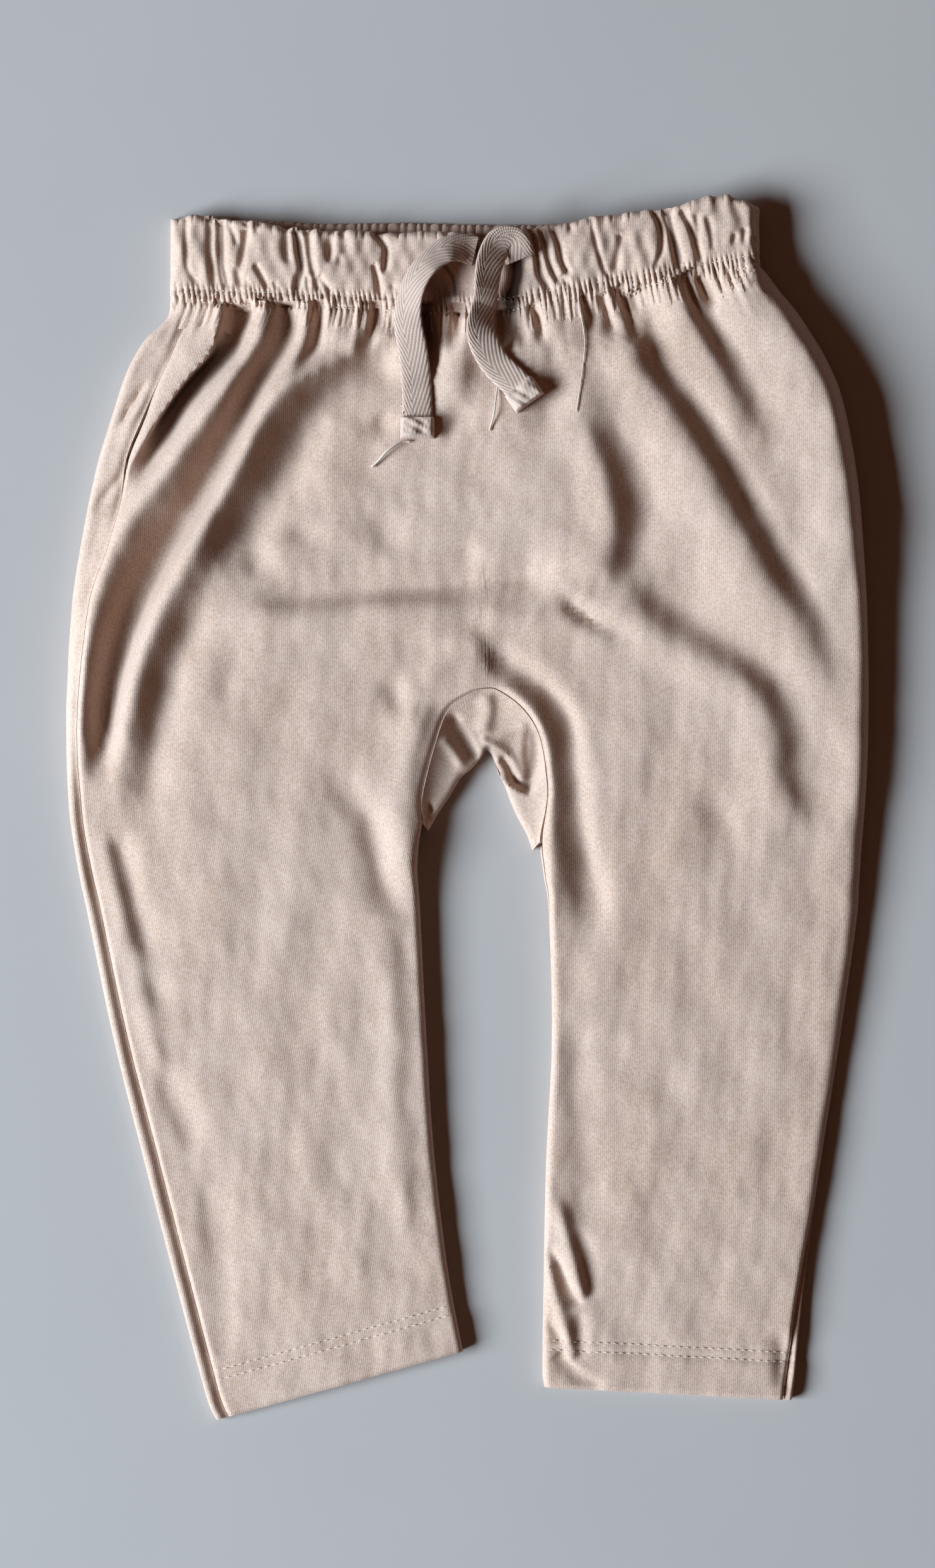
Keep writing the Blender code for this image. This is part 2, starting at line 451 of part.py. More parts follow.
def half_grid(rows, front):
    """Points of one half of the front or the back: rows down the body, columns inwards."""
    places = row_places()
    row = dict(zip(ROW, along(rows, places).T[..., None]))
    outer = np.concatenate([row["outer_x"], row["outer_y"]], axis=1)
    inner = inner_line(rows, places)
    length = np.linalg.norm(inner - outer, axis=1)[:, None]
    toward = (inner - outer) / length
    legs = np.clip(row["inner_roll"] / LEG_ROLL, 0, 1)
    line = table(EDGE_LINES, row["outer_y"])
    inner_upper = np.maximum(row["inner_roll"], LEAST_ROLL)
    inner_lower = np.maximum(line * legs, LEAST_ROLL)
    gap = seam_gap(row["seam"])
    inner_gap = seam_gap(row["inseam"]) * (places[:, None] > APEX_ROW)
    if front:
        span = length + (QUARTER - 1) * (row["roll"] + inner_upper)
        start = row["seam"] + gap
        end = row["inseam"] + inner_gap
        run = start + column_runs(span - start - end, EDGE_STEPS, FRONT_COLUMNS, EDGE_STEPS)
        back = span - run
    else:
        span = length + (QUARTER - 1) * (line + inner_lower)
        start = row["seam"] - gap
        end = row["inseam"] - inner_gap
        steps = WRAP_STEPS if rows is LEFT_ROWS else EDGE_STEPS
        run = start - column_runs(span + start + end, steps, BACK_COLUMNS, EDGE_STEPS)
        back = -(span + run)
    near_outer = np.abs(run) < np.abs(back)
    inset, _ = round_edge(run, row["roll"], line, 1.0, line)
    far_inset, _ = round_edge(back, inner_upper, inner_lower, 1.0, line)
    distance = np.where(near_outer, inset, length - far_inset)
    x = outer[:, :1] + toward[:, :1] * distance
    y = outer[:, 1:] + toward[:, 1:] * distance
    top = front_height(x, y)
    _, height = round_edge(run, row["roll"], line, top, line)
    _, far_height = round_edge(back, inner_upper, inner_lower, top, line)
    if front:
        far_height = top + (far_height - top) * legs
    else:
        far_height = far_height * legs
    return np.stack([x, y, np.where(near_outer, height, far_height)], axis=-1)


def add_grid(mesh, points):
    """Adds a grid of faces with these points, in rows and columns, and gives its vertices."""
    rows, columns = points.shape[:2]
    made = bmesh.ops.create_grid(mesh, x_segments=columns - 1, y_segments=rows - 1, size=1)["verts"]
    for vertex, place in zip(made, points.reshape(-1, 3)):
        vertex.co = place * MM
    return made


def new_object(name, mesh, collection):
    """Ends a bmesh as a named object with its own material."""
    data = bpy.data.meshes.new(name)
    mesh.to_mesh(data)
    mesh.free()
    obj = bpy.data.objects.new(name, data)
    material = bpy.data.materials.new(name)
    material.use_nodes = True
    shader = material.node_tree.nodes["Principled BSDF"]
    shader.inputs["Base Color"].default_value = (*COLOURS[name], 1)
    shader.inputs["Roughness"].default_value = 0.9
    shader.inputs["Metallic"].default_value = 0.0
    data.materials.append(material)
    collection.objects.link(obj)
    return obj


def face_all(mesh, toward):
    """Turns the faces of an open sheet so that its middle faces this way up or down."""
    mesh.normal_update()
    if sum(face.normal.z * face.calc_area() for face in mesh.faces) * toward < 0:
        bmesh.ops.reverse_faces(mesh, faces=mesh.faces)


def hem_y(x):
    """The line of the hem at a place across the garment."""
    rows = LEFT_ROWS if x < GAP_MIDDLE else RIGHT_ROWS
    outer_x, outer_y, inner_x, inner_y = rows[-1][:4]
    return outer_y + (inner_y - outer_y) * (x - outer_x) / (inner_x - outer_x)


def hem_weights(obj):
    """A vertex group with weight 1 in the turned-up hems and 0 elsewhere."""
    group = obj.vertex_groups.new(name="hem")
    for vertex in obj.data.vertices:
        x, y = vertex.co.x / MM, vertex.co.y / MM
        share = (hem_y(x) + HEM_DEPTH + HEM_EASE / 2 - y) / HEM_EASE
        group.add([vertex.index], float(ease(share)), "REPLACE")
    return group


def thicken_panel(obj):
    """Gives a panel its wall, doubled in the hems, inwards from its outer side."""
    group = hem_weights(obj)
    wall = obj.modifiers.new("wall", "SOLIDIFY")
    wall.thickness = HEM_CLOTH * MM
    wall.offset = -1
    wall.use_rim = True
    wall.vertex_group = group.name
    wall.thickness_vertex_group = CLOTH / HEM_CLOTH


def make_panel(name, front, keep, collection):
    """The front or the back with both its legs, one piece of cloth."""
    mesh = bmesh.new()
    for rows in (LEFT_ROWS, RIGHT_ROWS):
        add_grid(mesh, half_grid(rows, front))
    bmesh.ops.remove_doubles(mesh, verts=mesh.verts, dist=MERGE * MM)
    bmesh.ops.recalc_face_normals(mesh, faces=mesh.faces)
    face_all(mesh, 1 if front else -1)
    mesh.verts.index_update()
    apex = np.array((*LEFT_ROWS[APEX_ROW][2:4], 0))
    kept = [vertex.index for vertex in mesh.verts
            if vertex.is_boundary or math.dist(vertex.co.xy / MM, apex[:2]) < APEX_KEPT]
    obj = new_object(name, mesh, collection)
    inside = obj.vertex_groups.new(name="inside")
    inside.add(range(len(obj.data.vertices)), 1.0, "REPLACE")
    inside.add(kept, 0.0, "REPLACE")
    thin = obj.modifiers.new("thin_out", "DECIMATE")
    thin.ratio = keep
    thin.vertex_group = inside.name
    thicken_panel(obj)
    return obj


def make_gusset(collection):
    """The crotch piece, sewn under the arch and folded between the legs."""
    arch = inner_ends(LEFT_ROWS[GUSSET_LEFT_ROW + 1:APEX_ROW - 1:-1])
    arch += inner_ends(RIGHT_ROWS[APEX_ROW + 1:GUSSET_RIGHT_ROW + 2])
    seam = evenly(arch, GUSSET_COLUMNS, trim=1)
    fold = evenly(GUSSET_FOLD, GUSSET_COLUMNS)
    width = np.linalg.norm(fold - seam, axis=1)[:, None]
    toward = (fold - seam) / width
    top = front_height(seam[:, :1], seam[:, 1:]) - GUSSET_SINK
    roll = np.minimum(GUSSET_ROLL, width * GUSSET_NARROW)
    line = np.minimum(GUSSET_EDGE, width * GUSSET_NARROW)
    share = np.linspace(0, 1, GUSSET_ROWS)[None, :]
    upper_run = (width + (QUARTER - 1) * roll - GUSSET_GAP) * (1 - share)
    lower_run = -(width + (QUARTER - 1) * line - GUSSET_GAP) * share[:, 1:]
    run = np.concatenate([upper_run, lower_run], axis=1)
    inset, _ = round_edge(run, roll, line, 1.0, line)
    fall = (inset / width) ** GUSSET_FALL
    shelf = GUSSET_EDGE + GUSSET_SHELF
    reach = shelf + (top - shelf) * fall
    _, height = round_edge(run, roll, line, reach, line)
    x = fold[:, :1] - toward[:, :1] * inset
    y = fold[:, 1:] - toward[:, 1:] * inset
    mesh = bmesh.new()
    add_grid(mesh, np.stack([x, y, height], axis=-1))
    bmesh.ops.recalc_face_normals(mesh, faces=mesh.faces)
    mesh.normal_update()
    highest = max(mesh.faces, key=lambda face: face.calc_center_median().z)
    if highest.normal.z < 0:
        bmesh.ops.reverse_faces(mesh, faces=mesh.faces)
    obj = new_object("gusset", mesh, collection)
    wall = obj.modifiers.new("wall", "SOLIDIFY")
    wall.thickness = CLOTH * MM
    wall.offset = -1
    return obj


def casing_seam_y(x):
    """The line where the casing is joined to the front and the back."""
    left, right = LEFT_ROWS[0], RIGHT_ROWS[0]
    return np.interp(x, (left[0], left[2], right[0]), (left[1], left[3], right[1]))


def pleat_relief(x, share):
    """Depth of the pleats of the front casing, share being 0 at the seam and 1 at the upper edge."""
    lift = np.zeros_like(x)
    for row in PLEATS:
        pleat = dict(zip(PLEAT, row))
        centre = pleat["low_x"] + (pleat["top_x"] - pleat["low_x"]) * share
        lift -= pleat["depth"] * np.exp(-((x - centre) / pleat["width"]) ** 2)
    low = PLEAT_LOW * ease(1 - share / PLEAT_FADE)
    top = PLEAT_TOP * ease(1 - (1 - share) / PLEAT_FADE)
    return lift * (1 - low) * (1 - top)


def casing_plain(run, share):
    """Points of the front casing without its pleats, and the height of its inside. run is the
    distance round the body from its left end, and share goes from 0 at the seam to 1 at the upper
    edge, then to 2 over the edge."""
    width = CASING_RIGHT - CASING_LEFT
    span = width + 2 * (QUARTER - 1) * CASING_ROLL
    line = CASING_LINE
    back = span - run
    inset, rise = round_edge(run, CASING_ROLL, line, 1.0, 0.0)
    far_inset, far_rise = round_edge(back, CASING_ROLL, line, 1.0, 0.0)
    near = run < back
    x = np.where(near, CASING_LEFT + inset, CASING_RIGHT - far_inset)
    rise = np.where(near, rise, far_rise)
    low = casing_seam_y(x) + CASING_GAP
    high = table(FRONT_TOP, x)
    flat = np.clip(share, 0, 1)
    turn = np.clip(share - 1, 0, 1) * QUARTER
    y = low + (high - CASING_TOP_ROLL - low) * flat + CASING_TOP_ROLL * np.sin(turn)
    crown = plain_height(x, y) + CASING_SWELL * np.sin(math.pi * flat) ** 2
    z = line + (crown - line) * rise - CASING_TOP_ROLL * (1 - np.cos(turn)) * rise
    under = line + (crown - line) * rise - CASING_WALL
    return np.stack([x, y, z], axis=-1), under


def grid_normals(points):
    """Upward unit normals of a grid of points."""
    across = np.gradient(points, axis=1)
    down = np.gradient(points, axis=0)
    normal = np.cross(across, down)
    normal /= np.linalg.norm(normal, axis=-1, keepdims=True)
    return normal * np.sign(normal[..., 2:].mean())


def make_wall(name, inner, outer, collection):
    """A closed wall with its own inner and outer grid of points."""
    mesh = bmesh.new()
    lower = add_grid(mesh, inner)
    upper = add_grid(mesh, outer)
    rows, columns = inner.shape[:2]
    rim = ([(0, c) for c in range(columns)] + [(r, columns - 1) for r in range(1, rows)]
           + [(rows - 1, c) for c in range(columns - 2, -1, -1)] + [(r, 0) for r in range(rows - 2, 0, -1)])
    order = [r * columns + c for r, c in rim]
    for here, there in zip(order, order[1:] + order[:1]):
        mesh.faces.new((lower[here], lower[there], upper[there], upper[here]))
    bmesh.ops.recalc_face_normals(mesh, faces=mesh.faces)
    return new_object(name, mesh, collection)


def make_casing_front(collection):
    """The front of the elastic casing: pleats and shirring over a plain inside."""
    width = CASING_RIGHT - CASING_LEFT
    span = width + 2 * (QUARTER - 1) * CASING_ROLL
    steps = 2 * GATHERS
    run = np.linspace(0, span, steps + 1)[None, :]
    share = np.array(CASING_ROWS)[:, None]
    run, share = np.broadcast_arrays(run, share)
    plain, under = casing_plain(run, share)
    normal = grid_normals(plain)
    gather = np.where(np.arange(steps + 1) % 2 == 1, GATHER_DEPTH, -GATHER_DEPTH)[None, :]
    shirred = np.array(CASING_SHIRRED)[:, None]
    raised = pleat_relief(plain[..., 0], np.clip(share, 0, 1)) + gather * shirred
    ends = ease(run / CASING_END) * ease((span - run) / CASING_END)
    outer = plain + normal * (raised * ends)[..., None]
    inner = plain - normal * CASING_WALL
    inner[..., 2] = np.maximum(inner[..., 2], np.maximum(under, CASING_LEAST))
    outer[..., 2] = np.maximum(outer[..., 2], under)
    return make_wall("waistband_front", inner, outer, collection)


def make_casing_back(collection):
    """The back of the casing, flat on the surface."""
    left, right = CASING_LEFT + CASING_SIDE_GAP, CASING_RIGHT - CASING_SIDE_GAP
    x = np.linspace(left, right, BACK_CASING_COLUMNS)[None, :]
    share = np.array(BACK_CASING_ROWS)[:, None]
    x, share = np.broadcast_arrays(x, share)
    low = casing_seam_y(x) + CASING_GAP
    y = low + (table(BACK_TOP, x) - low) * share
    flat = np.stack([x, y, np.zeros_like(x)], axis=-1)
    bevel = np.where(share == 1, BACK_CASING_BEVEL, 0.0)
    turns = BACK_CASING_TURN * np.arange(BACK_CASING_COLUMNS)
    wave = BACK_CASING_WAVE * np.sin(turns)[None, :] * (share < 1)
    top = np.stack([x, y - bevel / 2, CASING_WALL - bevel + wave], axis=-1)
    return make_wall("waistband_back", flat, top, collection)


def upper_side(x, y):
    """Height of whatever shows from above at a place in plan, casing or front."""
    seam = casing_seam_y(x)
    high = table(FRONT_TOP, x)
    share = np.clip((y - seam) / (high - CASING_TOP_ROLL - seam), 0, 1)
    casing = plain_height(x, y) + CASING_SWELL * np.sin(math.pi * share) ** 2
    return np.where(y > seam, casing, front_height(x, y))


def running_most(values, reach):
    """The most of each value and of those up to reach places before and after it."""
    padded = np.pad(values, reach, mode="edge")
    return np.max([padded[start:start + len(values)] for start in range(2 * reach + 1)], axis=0)


def make_tape(name, route, lifts, turns, collection):
    """A flat tape that lies over the cloth."""
    length = np.linalg.norm(np.diff(evenly(route, TAPE_READINGS), axis=0), axis=1).sum()
    centre = evenly(route, round(length / TAPE_STEP) + 1)
    run = np.linspace(0, length, len(centre))
    step = np.gradient(centre, axis=0)
    step /= np.linalg.norm(step, axis=1, keepdims=True)
    side = np.stack([-step[:, 1], step[:, 0]], axis=1)
    across = np.array(TAPE_COLUMNS) * TAPE_WIDTH
    turn = np.radians(table(turns, run))[:, None]
    x = centre[:, :1] + side[:, :1] * across * np.cos(turn)
    y = centre[:, 1:] + side[:, 1:] * across * np.cos(turn)
    tilt = across * np.sin(turn)
    rest = running_most((upper_side(x, y) - tilt).max(axis=1), TAPE_SMOOTH)
    z = (rest + table(lifts, run))[:, None] + TAPE_CLEARANCE + tilt
    low = np.stack([x, y, z], axis=-1)
    high = np.stack([x, y, z + TAPE_THICKNESS], axis=-1)
    return make_wall(name, low, high, collection)


def build():
    """Clears the scene and makes the garment."""
    for obj in list(bpy.data.objects):
        bpy.data.objects.remove(obj)
    collection = bpy.data.collections.new("sweatpants")
    bpy.context.scene.collection.children.link(collection)
    make_panel("front_panel", True, FRONT_KEEP, collection)
    make_panel("back_panel", False, BACK_KEEP, collection)
    make_gusset(collection)
    make_casing_front(collection)
    make_casing_back(collection)
    make_tape("drawstring_left", TAPE_LEFT, TAPE_LEFT_LIFT, TAPE_LEFT_TURN, collection)
    make_tape("drawstring_right", TAPE_RIGHT, TAPE_RIGHT_LIFT, TAPE_RIGHT_TURN, collection)


build()
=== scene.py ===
"""Toddler's pull-on jersey sweatpants, lying flat: the visible cloth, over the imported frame.

X runs across the garment, Y from the hems to the waist, Z up from the surface that it lies on.
The tables are in millimetres and the finished meshes in metres. The cloth has the form of the
frame's solids on a finer grid. A row of the body is one straight line in plan, from the outer edge
to the middle or to the inside of a leg, and cloth that runs round an edge is placed by its
distance round from the outline: positive on top, negative underneath.
"""

import math
import bpy
import numpy as np
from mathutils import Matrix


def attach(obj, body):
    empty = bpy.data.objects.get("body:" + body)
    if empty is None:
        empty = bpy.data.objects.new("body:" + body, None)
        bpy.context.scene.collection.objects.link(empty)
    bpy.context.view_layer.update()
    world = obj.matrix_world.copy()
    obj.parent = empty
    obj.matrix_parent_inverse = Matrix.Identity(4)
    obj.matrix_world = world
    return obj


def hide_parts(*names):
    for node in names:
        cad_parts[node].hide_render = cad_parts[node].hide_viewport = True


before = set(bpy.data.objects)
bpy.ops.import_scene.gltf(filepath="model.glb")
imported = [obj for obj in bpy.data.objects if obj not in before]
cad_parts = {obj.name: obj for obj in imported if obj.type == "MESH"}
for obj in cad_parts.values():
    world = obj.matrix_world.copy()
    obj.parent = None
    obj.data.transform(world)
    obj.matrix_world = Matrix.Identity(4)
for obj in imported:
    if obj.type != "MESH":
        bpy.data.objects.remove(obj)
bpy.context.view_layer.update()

MM = 0.001
QUARTER = math.pi / 2
TURN = 2 * math.pi
SHARP_ANGLE = math.radians(58)


def named_rows(columns, rows, **shared):
    """The rows of a table by the names of its columns, with the values that they all share."""
    return [dict(zip(columns, row), **shared) for row in rows]


# The photograph: how much of the surface it takes in, and where its middle lies, in millimetres
VIEW_HEIGHT = 522.7
VIEW_CENTRE = (0.0, 8.2)
VIEW_PLANE = 4.0
CAMERA_DISTANCE = 1500.0

# Cloth, in millimetres
CLOTH = 1.2
HEM_CLOTH = 2.0
HEM_STITCHES = (13.2, 16.4)
SEAM_GAP = 0.16
SEAM_ROLL = 7.0
SEAM_DIP = 0.8
# How deep the front, and how deep the back, dips at the side seam, and how far from it
SEAM_SIDES = {True: (0.9, 0.7), False: (1.5, 2.0)}
INSEAM_REACH = 1.1
ARCH_FADE = 0.5
LEAST_ROLL = 0.01
LEAST_HEIGHT = 3.4
FLOOR_SOFTNESS = 0.6
# Seams, hems and creases have their full relief from this height above the surface
RELIEF_RISE = 3.0
GATHER = 1.74
# Turned-up hem: its two sewn lines, the puckers between them, its thicker cloth and its lower edge
HEM_SEWN_DEPTH = 0.3
HEM_SEWN_WIDTH = 0.8
HEM_PUCKER = 0.1
HEM_PUCKER_PITCH = 3.1
HEM_PUCKER_REACH = 3.5
HEM_RAISE = 0.35
HEM_EASE = 3.0
HEM_LIP = 0.8
HEM_LIP_REACH = 1.6
# Unevenness of cloth that lies loose: its height, a factor on y that makes its hills longer down
# the garment, their spread, and the seed of its draws
LOOSE_CLOTH = ((0.3, 0.7, 19, 3), (0.07, 1.0, 6, 4), (0.07, 0.3, 8, 8))
# How far the ribs lean on the left leg: their slope, and where and over what lengths it sets in
LEAN = -0.12
LEAN_TOP = 20.0
LEAN_FADE = 60.0
LEAN_SIDE = 10.0
LEAN_SIDE_FADE = 30.0

# Grid sizes, in millimetres between rows and in columns between the close ones at the edges
WAIST_STEP = 1.15
LEG_STEP = 2.5
CUFF_STEP = 1.3
HEM_STEP = 1.0
WAIST_ROWS = 9
CUFF_ROWS = 3
HEM_ROWS = 2
EDGE_STEPS = (0.0, 0.25, 0.55, 0.9, 1.3, 1.8, 2.4, 3.1, 4.0, 5.0, 6.2, 7.5, 8.8)
BACK_EDGE = 30
BACK_WRAP = (9.8, 26.0)
FRONT_COLUMNS = 78
BACK_COLUMNS = 16

# Each half of the body, a row of cloth at a time from the casing to the hem. The outer edge and the
# inner end are places in plan. seam is how far round from the outline the side seam lies, and
# inseam the same at the inner end. roll is the radius of the outer edge, and inner_roll that of
# the leg's inner edge, which is 0 above the legs.
ROW = ("outer_x", "outer_y", "inner_x", "inner_y", "seam", "inseam", "roll", "inner_roll")
LEFT_ROWS = (
    (-98.8, 169.8, 4.0, 164.8, 11.6, 0.0, 5.0, 0.0),
    (-100.3, 163.5, 4.1, 158.5, 10.4, 0.0, 4.5, 0.0),
    (-107.0, 157.0, 4.2, 151.0, 12.8, 0.0, 3.5, 0.0),
    (-111.0, 151.0, 4.3, 145.0, 14.0, 0.0, 2.8, 0.0),
    (-114.5, 143.5, 4.4, 138.0, 13.8, 0.0, 2.6, 0.0),
    (-119.0, 129.5, 4.6, 126.0, 12.4, 0.0, 2.6, 0.0),
    (-123.0, 116.5, 4.8, 114.0, 11.2, 0.0, 2.6, 0.0),
    (-126.3, 102.0, 5.0, 101.0, 12.4, 0.0, 2.6, 0.0),
    (-129.2, 86.5, 5.4, 87.0, 11.2, 0.0, 2.6, 0.0),
    (-131.5, 72.0, 5.8, 73.0, 8.2, 0.0, 2.6, 0.0),
    (-132.8, 56.0, 6.1, 58.0, 7.0, 0.0, 2.6, 0.0),
    (-133.5, 42.0, 6.4, 40.2, 6.1, 0.0, 2.6, 0.0),
    (-133.8, 34.0, 1.5, 38.8, 5.8, 0.0, 2.6, 0.0),
    (-133.8, 24.0, -6.3, 33.3, 5.5, 0.0, 2.6, 0.0),
    (-133.6, 13.0, -11.2, 20.5, 5.6, 0.0, 2.6, 0.0),
    (-133.0, 1.0, -15.2, 4.0, 5.8, 0.0, 2.6, 0.0),
    (-132.2, -6.5, -15.0, -4.5, 5.8, -0.6, 2.6, 0.2),
    (-131.0, -14.0, -16.3, -13.0, 5.9, -3.6, 2.6, 1.2),
    (-129.2, -24.0, -16.6, -22.0, 6.1, -6.2, 2.6, 2.0),
    (-126.8, -35.0, -15.8, -34.0, 6.2, -6.2, 2.6, 2.2),
    (-118.0, -77.0, -13.9, -72.0, 6.2, -6.2, 2.6, 2.2),
    (-107.5, -119.0, -11.3, -113.0, 6.4, -6.2, 2.6, 2.2),
    (-96.6, -161.0, -6.8, -152.0, 6.2, -6.2, 2.6, 2.2),
    (-87.5, -195.0, -2.3, -177.0, 5.8, -6.2, 2.4, 2.0),
    (-83.8, -204.0, -1.5, -180.9, 5.6, -6.2, 2.4, 2.0),
)
RIGHT_ROWS = (
    (97.6, 180.9, 4.0, 164.8, -6.4, 0.0, 5.0, 0.0),
    (100.5, 177.5, 4.1, 158.5, -6.4, 0.0, 5.5, 0.0),
    (104.5, 172.0, 4.2, 151.0, -6.4, 0.0, 6.0, 0.0),
    (109.5, 166.0, 4.3, 145.0, -6.4, 0.0, 6.5, 0.0),
    (114.0, 159.3, 4.4, 138.0, -6.4, 0.0, 6.5, 0.0),
    (119.7, 149.8, 4.6, 126.0, -6.4, 0.0, 6.5, 0.0),
    (124.5, 138.3, 4.8, 114.0, -6.4, 0.0, 6.0, 0.0),
    (128.2, 122.0, 5.0, 101.0, -6.4, 0.0, 6.0, 0.0),
    (130.6, 105.5, 5.4, 87.0, -6.4, 0.0, 5.5, 0.0),
    (132.0, 88.0, 5.8, 73.0, -6.4, 0.0, 5.0, 0.0),
    (133.2, 68.0, 6.1, 58.0, -6.4, 0.0, 4.5, 0.0),
    (133.7, 48.0, 6.4, 40.2, -6.4, 0.0, 4.5, 0.0),
    (133.8, 40.0, 10.8, 39.2, -6.4, 0.0, 4.5, 0.0),
    (133.7, 28.0, 18.8, 33.0, -6.4, 0.0, 4.5, 0.0),
    (133.4, 15.5, 24.2, 23.5, -6.4, 0.0, 4.5, 0.0),
    (132.7, 2.5, 26.6, 8.0, -6.4, 0.0, 4.5, 0.0),
    (132.1, -5.0, 26.1, 0.0, -6.4, 0.2, 4.5, 0.4),
    (131.4, -14.0, 24.2, -10.8, -6.4, 1.2, 4.5, 1.2),
    (130.6, -26.0, 25.4, -22.4, -6.4, 1.4, 4.5, 1.8),
    (129.7, -38.0, 27.1, -35.0, -6.0, 0.6, 4.5, 2.0),
    (124.3, -76.0, 28.1, -76.0, -3.0, -5.2, 4.0, 2.0),
    (117.9, -118.0, 26.2, -118.0, 1.0, -6.2, 4.0, 2.0),
    (112.3, -158.0, 25.4, -156.0, 3.6, -6.2, 4.0, 2.0),
    (109.2, -189.0, 25.0, -186.0, 4.4, -6.2, 2.8, 2.0),
    (108.1, -197.3, 25.6, -192.9, 4.4, -6.2, 2.8, 2.0),
)
APEX_ROW = 11
LEG_ROLL = 2.0

# Height of the upper side above the surface, and of the outermost line of the edges, down the body
HEIGHTS = ((-210.0, 4.8), (-170.0, 5.2), (-100.0, 5.9), (-40.0, 7.0), (0.0, 9.2), (45.0, 11.4),
           (90.0, 12.4), (140.0, 12.4), (165.0, 11.4), (200.0, 11.4))
LEFT_LOW = 0.5
LEFT_RISE = 44.0
EDGE_LINES = ((-210.0, 2.4), (-170.0, 2.6), (-40.0, 2.8), (40.0, 3.0), (200.0, 3.0))

# Folds of the front: the lines of their crests, and of their troughs, whose height is negative. west
# and east are the widths of the two sides of a line that runs down the garment, or south and north of
# one that runs across it to the right. flare is how much wider the fold is at the end of its line,
# and start and end are the lengths over which it rises from nothing and dies away. Beside the left
# side seam the cloth laps over the crease next to it.
FOLD = ("name", "height", "west", "east", "flare", "start", "end", "line")
LAP = 3.0
LAP_WIDTH = 2.0
LAP_READINGS = 60
